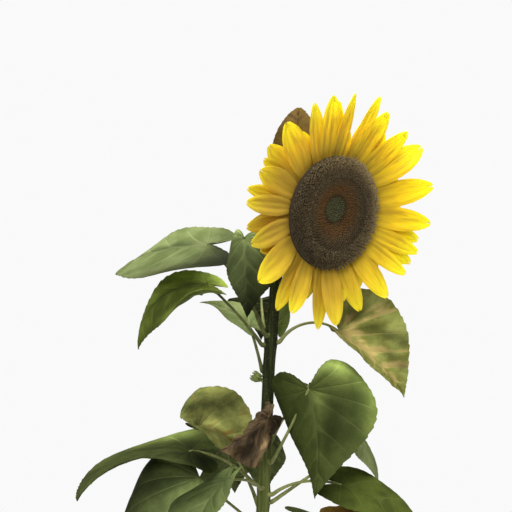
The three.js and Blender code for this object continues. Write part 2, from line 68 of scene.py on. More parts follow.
# Stem: a green stalk filled with pith, ribbed lengthwise, with a collar where each leaf stands on it.
# It is drawn up from its flat cut at the ground ring by ring, thickest at the foot, and then gets its relief.
MM = 0.001
STEM_LINE = MM * np.array([
    (0, 0, 0), (2, 0, 250), (-2, 0, 500), (4, 0, 760), (9, 0, 900), (17, 0, 1090), (26, 0, 1200),
    (33, 4, 1262),
])
STEM_TOP = 1262 * MM
STEM_FOOT_RADIUS = 11 * MM
STEM_TOP_RADIUS = 7 * MM
FLARE = 6 * MM
FLARE_HEIGHT = 22 * MM
STEM_SIDES = 66
STEM_STEPS = 150
STEM_CROWDING = 1.15
STEM_RIBS = 11
RIB_DEPTH = 0.35 * MM
COLLAR_HEIGHT = 9 * MM
COLLAR_REACH = 0.7
COLLAR_SWELL = 1.3 * MM
# Painted shade: between these heights the stem's colour goes from its own greens to darker shaded ones, as
# the head and the upper leaves shade the top of the stem.
SHADED_FROM = 970 * MM
SHADED_ALL = 1030 * MM
STEM_GREEN = (78, 88, 42)
STEM_PALE = (112, 118, 66)
SHADED_DARK = (24, 29, 10)
SHADED_GREEN = (50, 57, 25)
STEM_SPOT = (150, 156, 104)


def rgb(colour):
    """A colour given as on a screen, 0 to 255, as Blender's linear one."""
    parts = [c / 255 for c in colour]
    return tuple(c / 12.92 if c <= 0.04045 else ((c + 0.055) / 1.055) ** 2.4 for c in parts) + (1.0,)


def read_off(x, places, rows):
    """Rows read off at x, in a straight line from each place to the next."""
    return np.stack([np.interp(x, places, rows[:, k]) for k in range(rows.shape[1])], -1)


def stem_centre(z):
    return read_off(z, STEM_LINE[:, 2], STEM_LINE)


def stem_radius(z):
    straight = STEM_FOOT_RADIUS + (STEM_TOP_RADIUS - STEM_FOOT_RADIUS) * z / STEM_TOP
    return straight + FLARE * np.exp(-z / FLARE_HEIGHT)


def points_of(piece):
    flat = np.empty(len(piece.data.vertices) * 3, np.float32)
    piece.data.vertices.foreach_get("co", flat)
    return flat.reshape(-1, 3).astype(float)


def set_points(piece, points):
    piece.data.vertices.foreach_set("co", np.asarray(points, np.float32).ravel())
    piece.data.update()


def alone(piece):
    """Leaves piece as the only selected and the active object."""
    bpy.ops.object.select_all(action="DESELECT")
    piece.select_set(True)
    bpy.context.view_layer.objects.active = piece


def edit_all(piece):
    """Opens the piece in edit mode, with all of it selected."""
    alone(piece)
    bpy.ops.object.mode_set(mode="EDIT")
    bpy.ops.mesh.select_all(action="SELECT")


def face_outwards(piece):
    edit_all(piece)
    bpy.ops.mesh.normals_make_consistent(inside=False)
    bpy.ops.object.mode_set(mode="OBJECT")


def smooth_faces(piece, degrees):
    alone(piece)
    bpy.ops.object.shade_smooth_by_angle(angle=math.radians(degrees))


def drawn_up(name, sides, rings):
    """A closed round piece, drawn up ring by ring from a flat cut. rings are pairs of radius and height."""
    bpy.ops.object.select_all(action="DESELECT")
    bpy.ops.mesh.primitive_circle_add(
        vertices=sides, radius=rings[0][0], fill_type="NGON", location=(0, 0, rings[0][1])
    )
    piece = bpy.context.object
    piece.name = name
    bpy.ops.object.transform_apply(location=True, rotation=True, scale=True)
    bpy.ops.object.mode_set(mode="EDIT")
    for (r0, z0), (r1, z1) in zip(rings, rings[1:]):
        bpy.ops.mesh.extrude_region_move(TRANSFORM_OT_translate={"value": (0, 0, z1 - z0)})
        bpy.ops.transform.resize(value=(r1 / r0, r1 / r0, 1), center_override=(0, 0, z1))
    bpy.ops.object.mode_set(mode="OBJECT")
    face_outwards(piece)
    return piece


def node(tree, kind, inputs=None, **settings):
    """A node whose inputs are set to values or linked to other nodes' sockets."""
    made = tree.nodes.new(kind)
    for name, value in settings.items():
        setattr(made, name, value)
    for socket, value in (inputs or {}).items():
        if isinstance(value, bpy.types.NodeSocket):
            tree.links.new(value, made.inputs[socket])
        else:
            made.inputs[socket].default_value = value
    return made


def sums(operation, first, second=0.0):
    """The result of one step of arithmetic on a socket and another socket or a number."""
    return node(first.id_data, "ShaderNodeMath", {0: first, 1: second}, operation=operation).outputs[0]


def times(first, second):
    return sums("MULTIPLY", first, second)


def plus(first, second):
    return sums("ADD", first, second)


def ramp(value, low, high, to_low=0.0, to_high=1.0):
    """value taken smoothly from low..high to to_low..to_high."""
    inputs = {0: value, 1: low, 2: high, 3: to_low, 4: to_high}
    return node(value.id_data, "ShaderNodeMapRange", inputs, interpolation_type="SMOOTHSTEP").outputs[0]


def blend(share, first, second):
    """A colour that goes from first to second. Each is a colour on a screen or a socket."""
    first, second = (c if isinstance(c, bpy.types.NodeSocket) else rgb(c) for c in (first, second))
    return node(share.id_data, "ShaderNodeMix", {0: share, 6: first, 7: second}, data_type="RGBA").outputs[2]


def cloud(place, scale, detail=3.0, stretch=None):
    """Soft noise round 0.5, at scale per metre, drawn out along an axis where stretch says so."""
    if stretch:
        place = node(place.id_data, "ShaderNodeMapping", {0: place, 3: stretch}).outputs[0]
    inputs = {"Vector": place, "Scale": scale, "Detail": detail, "Roughness": 0.55}
    return node(place.id_data, "ShaderNodeTexNoise", inputs).outputs[0]


def split(place):
    """The three numbers of a place, as sockets."""
    return node(place.id_data, "ShaderNodeSeparateXYZ", {0: place}).outputs


def finish(name, roughness, colour, relief=None, height=0.3 * MM, sheen=0.0, through=0.0, gloss=0.35):
    """A material from functions of the place on the piece: colour, and relief for bump. through is the share
    of light that comes through from behind."""
    material = bpy.data.materials.new(name)
    material.use_nodes = True
    tree = material.node_tree
    shader = tree.nodes["Principled BSDF"]
    place = node(tree, "ShaderNodeTexCoord").outputs["Object"]
    base = colour(place)
    tree.links.new(base, shader.inputs["Base Color"])
    shader.inputs["Roughness"].default_value = roughness
    shader.inputs["Specular IOR Level"].default_value = gloss
    shader.inputs["Sheen Weight"].default_value = sheen
    shader.inputs["Sheen Roughness"].default_value = 0.5
    if relief:
        inputs = {"Strength": 1.0, "Distance": height, "Height": relief(place)}
        bump = node(tree, "ShaderNodeBump", inputs)
        tree.links.new(bump.outputs[0], shader.inputs["Normal"])
    if through:
        glow = node(tree, "ShaderNodeBsdfTranslucent", {"Color": base})
        mixed = node(tree, "ShaderNodeMixShader", {0: through, 1: shader.outputs[0], 2: glow.outputs[0]})
        tree.links.new(mixed.outputs[0], tree.nodes["Material Output"].inputs["Surface"])
    return material


def stem_colour(place):
    streaks = cloud(place, 260.0, 4.0, (1, 1, 0.04))
    _, _, height = split(place)
    lit = blend(ramp(streaks, 0.35, 0.7), STEM_GREEN, STEM_PALE)
    shaded = blend(ramp(streaks, 0.35, 0.75), SHADED_DARK, SHADED_GREEN)
    # Painted shade: the upper stem, in the shade of the head, is given the darker colours.
    green = blend(ramp(height, SHADED_FROM, SHADED_ALL), lit, shaded)
    spots = cloud(place, 700.0, 2.0)
    return blend(ramp(spots, 0.66, 0.74, 0.0, 0.5), green, STEM_SPOT)


def stem_relief(place):
    grain = cloud(place, 500.0, 3.0, (1, 1, 0.06))
    return plus(grain, cloud(place, 900.0, 2.0))


stem_skin = finish("stem green", 0.62, stem_colour, stem_relief, 0.35 * MM, gloss=0.12)


def ribbed(angle, height):
    """How far a green stalk's skin stands out, in rib depths: ribs that wander a little, and finer ones."""
    wander = 0.5 * np.sin(9 * height) + 0.35 * np.sin(23 * height + 1)
    return np.cos(STEM_RIBS * (angle + 0.12 * wander)) + 0.5 * np.cos(2.7 * STEM_RIBS * angle + 30 * height)


# Leaf rows, as the solids have them, from the top down, with those at the back last. at: height on the stem;
# side: azimuth where the stalk leaves it; stalk: its length; rise, crest: its pitch at foot and joint; turn:
# its azimuth at the joint, the heading where a row gives none; heading, sway: the midrib's azimuth and its
# change; lift, fall: its pitch at joint and tip; roll, twist: the blade's turn about the midrib; fold, curl:
# how the halves rise; skew: how much wider the left half is; brim: how far the left lobe's margin is bent
# back. look is the blade's finish, and wilt is how far a drying blade is crumpled. Millimetres and degrees.
PLAIN = dict(sway=0, roll=0, twist=0, fold=15, curl=-10, skew=0, wilt=0, brim=0)
LEAVES = [
    dict(name="behind_head", look="brown", at=1215, side=72, stalk=143, rise=61, crest=68, turn=52,
         heading=92, sway=-10, blade=121, width=74, lift=100, fall=8, roll=-3, fold=18, curl=-22,
         wilt=0.5),
    dict(name="top_left", look="pale", at=1137, side=168, stalk=134, rise=67, crest=45, heading=169,
         sway=-50, blade=180, width=148, lift=-3, fall=-30, roll=-21, twist=-8, fold=-8, curl=17,
         skew=0.27),
    dict(name="under_head", look="dark", at=1130, side=229, stalk=142, rise=54, crest=83, heading=268,
         sway=20, blade=105, width=109, lift=-49, fall=-86, roll=8, twist=-8, fold=-18, curl=-75,
         skew=0.34),
    dict(name="tan_right", look="tan", at=1120, side=14, stalk=94, rise=55, crest=-42, turn=10,
         heading=-13, sway=-60, blade=130, width=127, lift=-33, fall=-34, roll=25, twist=-15, fold=26,
         curl=42, skew=0.22, wilt=1),
    dict(name="arched_left", look="olive", at=1117, side=196, stalk=110, rise=55, crest=42, heading=180,
         sway=-3, blade=139, width=150, lift=2, fall=-90, roll=-5, twist=-28, fold=-17, curl=30,
         skew=0.23),
    dict(name="small_right", look="green", at=1106, side=66, stalk=34, rise=60, crest=80, heading=44,
         blade=70, width=38, lift=74, fall=68, fold=10, curl=-5),
    dict(name="small_left", look="pale", at=1080, side=134, stalk=62, rise=70, crest=69, heading=154,
         blade=82, width=50, lift=40, fall=-1, roll=-15, fold=23, curl=-6),
    dict(name="withered", look="withered", at=1040, side=-84, stalk=59, rise=11, crest=-14, turn=-103,
         heading=206, sway=8, blade=79, width=96, lift=-37, fall=-15, roll=-80, twist=46, fold=-25,
         curl=-96, skew=0.67, wilt=3),
    dict(name="yellowing", look="yellowing", at=965, side=218, stalk=113, rise=39, crest=23, turn=222,
         heading=14, sway=14, blade=83, width=129, lift=-7, fall=-66, roll=5, twist=82, fold=29,
         skew=0.31, wilt=1),
    dict(name="front_right", look="green", at=962, side=-42, stalk=121, rise=57, crest=64, heading=-34,
         sway=-90, blade=136, width=155, lift=-75, fall=-68, roll=71, twist=-49, fold=-2, curl=-58,
         skew=0.13, brim=16),
    dict(name="long_left", look="green", at=930, side=184, stalk=102, rise=50, crest=10, turn=208,
         heading=193, sway=67, blade=194, width=190, lift=5, fall=-18, roll=-2, twist=46, fold=0, curl=-6,
         skew=-0.2),
    dict(name="grey_front", look="grey", at=927, side=252, stalk=97, rise=35, crest=10, turn=222,
         heading=209, sway=53, blade=113, width=125, lift=-34, fall=-54, roll=20, twist=-3, fold=16,
         curl=-14, skew=-0.3),
    dict(name="behind_stem", look="dark", at=925, side=96, stalk=79, rise=62, crest=32, heading=82,
         sway=20, blade=110, width=84, lift=-54, fall=-102, roll=19, fold=-5, curl=-30),
    dict(name="low_right", look="olive", at=917, side=-22, stalk=100, rise=40, crest=-12, heading=-17,
         blade=160, width=84, lift=-6, fall=-74, roll=15, curl=-15),
    dict(name="pale_right", look="pale", at=905, side=8, stalk=145, rise=33, crest=33, turn=4,
         heading=-22, blade=67, width=90, lift=-48, fall=-93, roll=-10, fold=0, curl=-20),
    dict(name="broad_left", look="dark", at=877, side=206, stalk=99, rise=46, crest=36, turn=149,
         heading=259, sway=-54, blade=236, width=190, lift=-47, fall=-88, roll=-25, twist=-56, fold=-4,
         curl=-99, skew=-0.35),
    dict(name="brown_low", look="brown", at=838, side=-25, stalk=110, rise=45, crest=10, heading=-25,
         blade=170, width=120, lift=-10, fall=-80, roll=10, fold=10, curl=-20, wilt=1.5),
    dict(name="back_high", look="green", at=1172, side=62, stalk=95, rise=62, crest=30, heading=55,
         blade=150, width=112, lift=0, fall=-62, fold=14, curl=-12),
    dict(name="back_left", look="dark", at=1098, side=102, stalk=93, rise=65, crest=33, heading=90,
         blade=109, width=95, lift=-14, fall=-71, roll=-4, fold=14, curl=-12),
    dict(name="back_right", look="olive", at=985, side=52, stalk=112, rise=48, crest=16, heading=58,
         blade=150, width=122, lift=-24, fall=-80, fold=10, curl=-15),
    dict(name="back_mid", look="dark", at=897, side=120, stalk=126, rise=51, crest=10, turn=112,
         heading=74, blade=108, width=110, lift=-50, fall=-72, roll=-6, fold=12, curl=-15),
]
LOWER_LEAVES = 14
LOWER_FIRST = 800
LOWER_STEP = 46
LOWER_FIRST_SIDE = 30
LOWER_TURN = 137.5
LOWER_LOOKS = ["green", "dark", "olive", "green", "dark", "olive", "green", "yellowing", "olive", "yellowing",
               "tan", "tan", "brown", "withered"]


def lower_leaf(i):
    """One lower leaf: they grow larger and hang lower and drier down the stem."""
    age = i / (LOWER_LEAVES - 1)
    side = (LOWER_FIRST_SIDE + LOWER_TURN * i) % 360

    def aged(young, old):
        return young + (old - young) * age

    return dict(
        name=f"lower_{i + 1:02d}",
        look=LOWER_LOOKS[i],
        at=LOWER_FIRST - LOWER_STEP * i,
        side=side,
        stalk=aged(118, 96),
        rise=aged(42, 22),
        crest=aged(8, -30),
        heading=side + 6,
        blade=aged(215, 165) + 12 * math.sin(5 * i),
        width=aged(180, 105) + 10 * math.cos(3 * i),
        lift=aged(-24, -48),
        fall=aged(-78, -94),
        roll=12 * math.sin(2 * i),
        fold=aged(12, 26),
        curl=aged(-16, 20),
        wilt=max(0, age - 0.5) * 6,
    )


leaf_rows = [
    {**PLAIN, "turn": row["heading"], **row} for row in (*LEAVES, *map(lower_leaf, range(LOWER_LEAVES)))
]

heights = STEM_TOP * np.linspace(0, 1, STEM_STEPS + 1) ** STEM_CROWDING
stem = drawn_up("stem_stalk", STEM_SIDES, [(stem_radius(z), z) for z in heights])
skin = points_of(stem)
around = np.arctan2(skin[:, 1], skin[:, 0])
level = skin[:, 2]
reach = np.hypot(skin[:, 0], skin[:, 1]) + RIB_DEPTH * ribbed(around, level)
for row in leaf_rows:
    apart = (around - math.radians(row["side"]) + math.pi) % (2 * math.pi) - math.pi
    near = np.exp(-(((level - row["at"] * MM) / COLLAR_HEIGHT) ** 2) - (apart / COLLAR_REACH) ** 2)
    reach += COLLAR_SWELL * near
skin[:, 0] = reach * np.cos(around)
skin[:, 1] = reach * np.sin(around)
skin[:, :2] += stem_centre(level)[:, :2]
set_points(stem, skin)
smooth_faces(stem, 60)
stem.data.materials.append(stem_skin)
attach(stem, "root")
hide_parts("stem")


# Stem hairs: stiff pale bristles all over the stem, each a thin spike set into the skin.
# They are many and small, so they are one joined mesh.
HAIRS = 5200
HAIRS_FROM = 4 * MM
HAIRS_TO = 1258 * MM
HAIR_LENGTH = 1.9 * MM
HAIR_ROOT = 0.4 * MM
HAIR_SUNK = 0.35 * MM
HAIR_RADIUS = 0.11 * MM
HAIR_SPREAD = 0.25
HAIR_PALE = (150, 154, 108)
HAIR_SHADE = (150, 150, 104)


def mottled(scale, first, second):
    """A colour function that goes softly to and fro between two colours, at scale per metre."""
    return lambda place: blend(cloud(place, scale), first, second)


def mesh_piece(name, points, faces, material):
    mesh = bpy.data.meshes.new(name)
    mesh.from_pydata(np.asarray(points).tolist(), [], np.asarray(faces).tolist())
    mesh.materials.append(material)
    piece = bpy.data.objects.new(name, mesh)
    bpy.context.scene.collection.objects.link(piece)
    return piece


def unit(rows):
    return rows / np.linalg.norm(rows, axis=-1, keepdims=True)


def spikes(roots, leans, length, radius):
    """Closed three-sided spikes at roots, each with its own direction and length. Gives points and faces."""
    leans = unit(leans)
    level = np.where(np.abs(leans[:, 2:]) < 0.9, [[0.0, 0.0, 1.0]], [[1.0, 0.0, 0.0]])
    across = unit(np.cross(leans, level))
    up = np.cross(across, leans)
    length = np.broadcast_to(length, len(roots))[:, None]
    ring = [
        roots + radius * (math.cos(turn) * across + math.sin(turn) * up)
        for turn in (0, 2 * math.pi / 3, 4 * math.pi / 3)
    ]
    points = np.stack([*ring, roots + leans * length], 1).reshape(-1, 3)
    cone = np.array([(0, 2, 3), (2, 1, 3), (1, 0, 3), (0, 1, 2)])
    faces = (4 * np.arange(len(roots))[:, None, None] + cone).reshape(-1, 3)
    return points, faces


dice = np.random.default_rng(7)
hair_z = dice.uniform(HAIRS_FROM, HAIRS_TO, HAIRS)
hair_turn = dice.uniform(0, 2 * math.pi, HAIRS)
hair_out = np.stack([np.cos(hair_turn), np.sin(hair_turn), np.zeros(HAIRS)], 1)
hair_roots = stem_centre(hair_z) + hair_out * (stem_radius(hair_z) - HAIR_SUNK)[:, None]
hair_leans = hair_out + dice.normal(0, HAIR_SPREAD, (HAIRS, 3))
hair_lengths = HAIR_LENGTH * dice.uniform(0.5, 1, HAIRS) + HAIR_ROOT
hair_finish = finish("bristle", 0.5, mottled(40.0, HAIR_PALE, HAIR_SHADE))
hairs = mesh_piece("stem_bristles", *spikes(hair_roots, hair_leans, hair_lengths, HAIR_RADIUS), hair_finish)
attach(hairs, "root")


# Leaves: each is a heart-shaped blade on a long stalk that stands on the stem's skin. The stalk is grooved on
# its upper side and runs on under the blade as the midrib, with the side veins branching from it. The margin
# is toothed. A blade starts as a flat grid, is bent by the row's numbers and then given its thickness.

# The margin of one half, by shares of the blade's length and of the half's width, from joint to tip.
OUTLINE = np.array([
    (0, 0), (-0.09, 0.1), (-0.18, 0.3), (-0.2, 0.52), (-0.12, 0.8), (0.04, 0.97), (0.2, 1), (0.38, 0.87),
    (0.55, 0.63), (0.71, 0.37), (0.86, 0.16), (1, 0),
])
# RIPPLE is a share of the blade's length, TOOTH, QUILT and CHANNEL are shares of its width, and STALK_GROOVE
# is one of the stalk's radius. VEINS says where along the outline the side veins end, with thinner ones from
# FINE_FROM on.
VEIN_SLANT = 0.9
STALK_FOOT = 4
STALK_SUNK = 1.5
STALK_RADII = (3.0, 2.1, 1.8)
STALK_SWELL = 1.4
STALK_GROOVE = 0.22
STALK_RINGS = 34
STALK_SIDES = 10
STEM_GAP = 0.4
RIB_ROOT = 1.9
RIB_TIP = 0.12
RIB_RINGS = 26
VEIN_ROOT = 0.75
FINE_VEIN_ROOT = 0.5
FINE_FROM = 0.65
VEIN_TIP = 0.14
VEINS_FOR_WIDTH = 110
VEIN_RINGS = 12
VEIN_SIDES = 5
RIPPLE = 0.02
RIPPLE_TURNS = 9
RIPPLE_STARTS = (1.5, 4)
BLADE_ROWS = 132
BLADE_COLUMNS = 28
BLADE_THICK = 0.55
THICKER_PAST = 150
VEINS = np.array([-0.2, 0.0, 0.17, 0.32, 0.46, 0.59, 0.69, 0.77, 0.84, 0.91, 1.0, 1.2])
TEETH = 26
TOOTH = 0.013
QUILT = 0.011
CHANNEL = 0.008
CREASE = 2.2
CREASE_SIZE = 17
NET_DEPTH = 0.25 * MM
LEAF_THROUGH = 0.12
# Painted light and shade on each blade: how light it is at its joint and at its tip, and on its right and
# its left half, as the lamps and the leaves around it light and shade it. TONE is the even tone of blades
# that have no row here.
PAINTED_LIGHT_TONES = {
    "behind_head": (0.23, 0.23, 1, 1), "top_left": (0.3, 0.7, 1.2, 0.8), "under_head": (2.4, 0.05, 1, 1),
    "tan_right": (0.9, 0.8, 1, 1), "arched_left": (1.9, 0.5, 1.8, 0.8), "small_right": (1.2, 1.2, 1, 1),
    "small_left": (0.8, 0.8, 1, 1), "withered": (0.6, 0.6, 1, 1), "yellowing": (0.45, 0.4, 0.6, 1.3),
    "front_right": (0.48, 0.4, 1, 1), "long_left": (0.7, 0.35, 1, 1), "grey_front": (1.3, 0.35, 1, 1),
    "behind_stem": (1.2, 1.4, 1, 1), "low_right": (0.45, 0.45, 1, 1), "pale_right": (1.3, 0.7, 1, 1),
    "broad_left": (1.5, 2.6, 0.9, 1.1), "back_left": (0.6, 0.6, 1, 1), "back_mid": (1.0, 1.0, 1, 1),
}
TONE = (0.7, 0.7, 1, 1)
# Painted light and shade on single blades, as soft lighter and darker places: lit lobes and margins, shaded
# creases and the shadows of other leaves, and on tan_right narrow darker stripes. Each gives where along the
# outline, where across from -1 on the right margin to 1 on the left one, the reach in both, and how light.
PAINTED_LIGHT_MARKS = {
    "front_right": [(0.3, 0.9, 0.22, 0.4, 6.0), (0.57, 1.0, 0.12, 0.22, 3.2), (0.66, 0.15, 0.08, 0.14, 2.8),
                    (0.7, 0.45, 0.12, 0.25, 0.5)],
    "top_left": [(0.7, -0.15, 0.15, 0.25, 0.5), (0.3, 0.9, 0.25, 0.6, 0.12), (0.28, -0.7, 0.12, 0.5, 0.6)],
    "under_head": [(0.63, 0.2, 0.12, 0.3, 1.5), (0.25, -0.8, 0.1, 0.4, 1.8)],
    "tan_right": [(0.66, 0.5, 0.02, 0.15, 0.5), (0.7, 0.7, 0.02, 0.15, 0.4), (0.73, 0.9, 0.02, 0.15, 0.45),
                  (0.79, 0.55, 0.02, 0.15, 0.5), (0.83, 0.8, 0.02, 0.2, 0.45), (0.47, 0.45, 0.05, 0.25, 0.55),
                  (0.4, 0.7, 0.04, 0.3, 0.6), (0.6, 0.15, 0.2, 0.15, 1.9), (0.58, 0.45, 0.03, 0.2, 1.8)],
    "arched_left": [(0.57, -0.8, 0.15, 0.4, 3.0), (0.76, -0.2, 0.1, 0.4, 0.6)],
    "yellowing": [(0.45, 0.95, 0.2, 0.3, 2.8), (0.6, 0.5, 0.2, 0.15, 0.45), (0.69, 0.8, 0.04, 0.2, 0.5),
                  (0.3, 0.1, 0.4, 0.12, 0.4), (0.78, 0.25, 0.08, 0.2, 2.2), (0.4, 0.6, 0.05, 0.3, 0.6)],
    "withered": [(0.4, 0.0, 0.3, 0.35, 0.5), (0.7, 0.72, 0.08, 0.35, 7.0), (0.84, 0.5, 0.06, 0.4, 0.5)],
    "long_left": [(0.46, -0.8, 0.09, 0.35, 4.5), (0.38, -0.2, 0.1, 0.25, 0.5), (0.3, 0.5, 0.25, 0.4, 0.3),
                  (0.8, 0.0, 0.15, 1.0, 0.8)],
    "grey_front": [(0.35, -0.7, 0.12, 0.4, 2.6), (0.5, 0.7, 0.12, 0.4, 0.6)],
    "broad_left": [(0.7, -0.1, 0.15, 0.35, 2.2), (0.55, -0.5, 0.1, 0.3, 0.55), (0.38, -0.35, 0.08, 0.3, 1.7),
                   (0.35, -0.9, 0.3, 0.2, 0.6)],
}


def direction(azimuth, pitch):
    """The unit vector at an azimuth from +X and a pitch above level, both in degrees. Arrays give rows."""
    a, p = np.radians(azimuth), np.radians(pitch)
    return np.stack(np.broadcast_arrays(np.cos(p) * np.cos(a), np.cos(p) * np.sin(a), np.sin(p)), -1)


class Leaf:
    """A leaf's stalk, midrib and bent blade, in millimetres, by the rule that the solids follow."""

    STEPS = 48
    BACK = 14
    STALK_STEPS = 9

    def __init__(self, row):
        self.__dict__.update(row)
        wall = direction(self.side, 0)
        skin_reach = stem_radius(self.at * MM) / MM + STEM_GAP
        foot = stem_centre(self.at * MM) / MM + wall * skin_reach
        stalk = [foot, foot + STALK_FOOT * wall]
        for i in range(self.STALK_STEPS):
            s = (i + 0.5) / self.STALK_STEPS
            azimuth = self.side + (self.turn - self.side) * s * s
            pitch = self.rise + (self.crest - self.rise) * s
            stalk.append(stalk[-1] + direction(azimuth, pitch) * self.stalk / self.STALK_STEPS)
        self.stalk_line = np.array(stalk)
        pace = self.blade / self.STEPS
        behind = self.along(-(np.arange(self.BACK) + 0.5) / self.STEPS) * -pace
        ahead = self.along((np.arange(self.STEPS) + 0.5) / self.STEPS) * pace
        joint = stalk[-1]
        self.line = np.vstack([joint + np.cumsum(behind, 0)[::-1], joint, joint + np.cumsum(ahead, 0)])

    def along(self, s):
        return direction(self.heading + self.sway * s, self.lift + (self.fall - self.lift) * s)

    def centre(self, s):
        f = np.clip(s * self.STEPS + self.BACK, 0, len(self.line) - 1)
        return read_off(f, np.arange(len(self.line)), self.line)

    def half(self, sign):
        return self.width / 2 * (1 + self.skew * sign)

    def place(self, x, y):
        """Points of the bent blade and its normals there, for places x, y on the flat one."""
        s = x / self.blade
        sign = np.where(y > 0, 1.0, -1.0)
        half = self.half(sign)
        azimuth = np.radians(self.heading + self.sway * s)
        flat_across = np.stack([-np.sin(azimuth), np.cos(azimuth), np.zeros_like(azimuth)], -1)
        flat_up = np.cross(self.along(s), flat_across)
        turn = np.radians(self.roll + self.twist * s)[:, None]
        across = flat_across * np.cos(turn) + flat_up * np.sin(turn)
        up = flat_up * np.cos(turn) - flat_across * np.sin(turn)
        d = np.abs(y)
        start = math.radians(self.fold)
        bend = (math.radians(self.curl) - start) / half
        end = start + bend * d
        out = (np.sin(end) - math.sin(start)) / bend
        first = np.where(sign > 0, *RIPPLE_STARTS)
        wave = RIPPLE * self.blade * (d / half) ** 2 * np.sin(RIPPLE_TURNS * s + first)
        rise = (math.cos(start) - np.cos(end)) / bend + wave
        lean = (end * np.minimum(1, 6 * d / half) * sign)[:, None]
        normal = up * np.cos(lean) - across * np.sin(lean)
        return self.centre(s) + across * (out * sign)[:, None] + up * rise[:, None], normal

    def flat(self, s, v):
        """The flat place of s along the outline and v from midrib to margin, negative on the right."""
        sign = np.sign(v)
        u = np.abs(v)
        f = np.clip(s, 0, 1) * (len(OUTLINE) - 1)
        edge = smooth_line(OUTLINE, f)
        margin_x = edge[:, 0] * self.blade
        margin_y = np.maximum(edge[:, 1], 0) * self.half(sign)
        vein_x = np.where(s > 0.999, margin_x, np.maximum(0, margin_x - VEIN_SLANT * margin_y))
        saw = (s * TEETH + 0.15 * np.sin(40 * s)) % 1.0
        tooth = TOOTH * self.width * (0.5 - saw) * np.sin(math.pi * np.clip(s, 0, 1)) ** 0.5 * u**8
        return vein_x + (margin_x - vein_x) * u + 0.5 * tooth, (margin_y * u + tooth) * sign

    def bent_back(self, s, v):
        """How far the margin of the left lobe is bent back, as a share of the brim."""
        return np.clip((v - 0.45) / 0.55, 0, 1) ** 2 * np.clip(1 - np.abs(s - 0.3) / 0.3, 0, 1) ** 0.7

    def surface(self, s, v):
        """The living surface: the bent blade with its quilting between the veins and its wilting."""
        points, normals = self.place(*self.flat(s, v))
        phase = np.interp(s, VEINS, np.arange(len(VEINS)))
        between = 1 - np.abs(2 * (phase % 1.0) - 1)
        u = np.abs(v)
        arch = np.sin(math.pi * np.clip(u, 0.02, 0.98)) ** 0.7
        swell = QUILT * self.width * (np.sqrt(between) - 0.6) * arch
        channel = -CHANNEL * self.width * np.exp(-((u / 0.05) ** 2))
        lift = swell + channel - self.brim * self.bent_back(s, v)
        if self.wilt:
            crease = [noise.fractal(Vector(p) / CREASE_SIZE, 1.0, 2.0, 3) for p in points.tolist()]
            lift = lift + self.wilt * CREASE * np.array(crease) * np.minimum(1, 3 * u)
        return points + normals * lift[:, None], normals


def smooth_line(line, f):
    """Catmull-Rom curve through flat points at f, counted in points, its ends carried straight on."""
    i = np.minimum(f.astype(int), len(line) - 2)
    u = (f - i)[:, None]
    full = np.vstack([2 * line[0] - line[1], line, 2 * line[-1] - line[-2]])
    p0, p1, p2, p3 = (full[i + k] for k in range(4))
    return 0.5 * (
        2 * p1 + (p2 - p0) * u + (2 * p0 - 5 * p1 + 4 * p2 - p3) * u**2 + (3 * p1 - p0 - 3 * p2 + p3) * u**3
    )


def grid_sheet(name, rows, columns, shape):
    """A flat grid whose points shape(s, v) moves into place: s is 0 to 1 along it and v is -1 to 1 across."""
    bpy.ops.object.select_all(action="DESELECT")
    bpy.ops.mesh.primitive_grid_add(x_subdivisions=rows, y_subdivisions=columns, size=1, location=(0, 0, 0))
    sheet = bpy.context.object
    sheet.name = name
    flat = points_of(sheet)
    set_points(sheet, shape(flat[:, 0] + 0.5, np.round(flat[:, 1] * 2, 6)))
    return sheet


def weld_and_thicken(piece, thickness, under_slot=0):
    """Merges the points that meet, and gives the sheet its thickness by half on either side."""
    edit_all(piece)
    bpy.ops.mesh.remove_doubles(threshold=0.02 * MM)
    bpy.ops.object.mode_set(mode="OBJECT")
    wall = piece.modifiers.new("thickness", "SOLIDIFY")
    wall.thickness = thickness
    wall.offset = 0
    wall.material_offset = under_slot
    bpy.ops.object.modifier_apply(modifier=wall.name)


def tube(path, radii, ups, sides, groove=0.0):
    """A closed tube round a path, its own up at each point, with a groove along the top. Points and faces."""
    ahead = unit(np.gradient(path, axis=0))
    side = unit(np.cross(ahead, ups))
    up = np.cross(side, ahead)
    turns = 2 * math.pi * np.arange(sides) / sides
    dent = 1 - groove * np.exp(-((np.minimum(turns, 2 * math.pi - turns) / 0.55) ** 2))
    spokes = up[:, None] * np.cos(turns)[None, :, None] + side[:, None] * np.sin(turns)[None, :, None]
    rings = path[:, None] + spokes * (np.asarray(radii)[:, None] * dent[None, :])[:, :, None]
    points = np.vstack([rings.reshape(-1, 3), path[:1], path[-1:]])
    count = len(path)
    k = np.arange(sides)
    nxt = (k + 1) % sides
    first = sides * np.arange(count - 1)[:, None]
    a, b = (first + k).ravel(), (first + nxt).ravel()
    walls = np.vstack([np.stack([a, a + sides, b], 1), np.stack([b, a + sides, b + sides], 1)])
    foot, tip, last = count * sides, count * sides + 1, (count - 1) * sides
    caps = np.vstack([
        np.stack([np.full(sides, foot), k, nxt], 1),
        np.stack([np.full(sides, tip), last + nxt, last + k], 1),
    ])
    return points, np.vstack([walls, caps])


def one_mesh(parts):
    """Parts in millimetres, each its points and faces, as the points and faces of one mesh in metres."""
    starts = np.cumsum([0] + [len(points) for points, _ in parts])
    points = np.vstack([points for points, _ in parts]) * MM
    return points, np.vstack([faces + start for (_, faces), start in zip(parts, starts)])


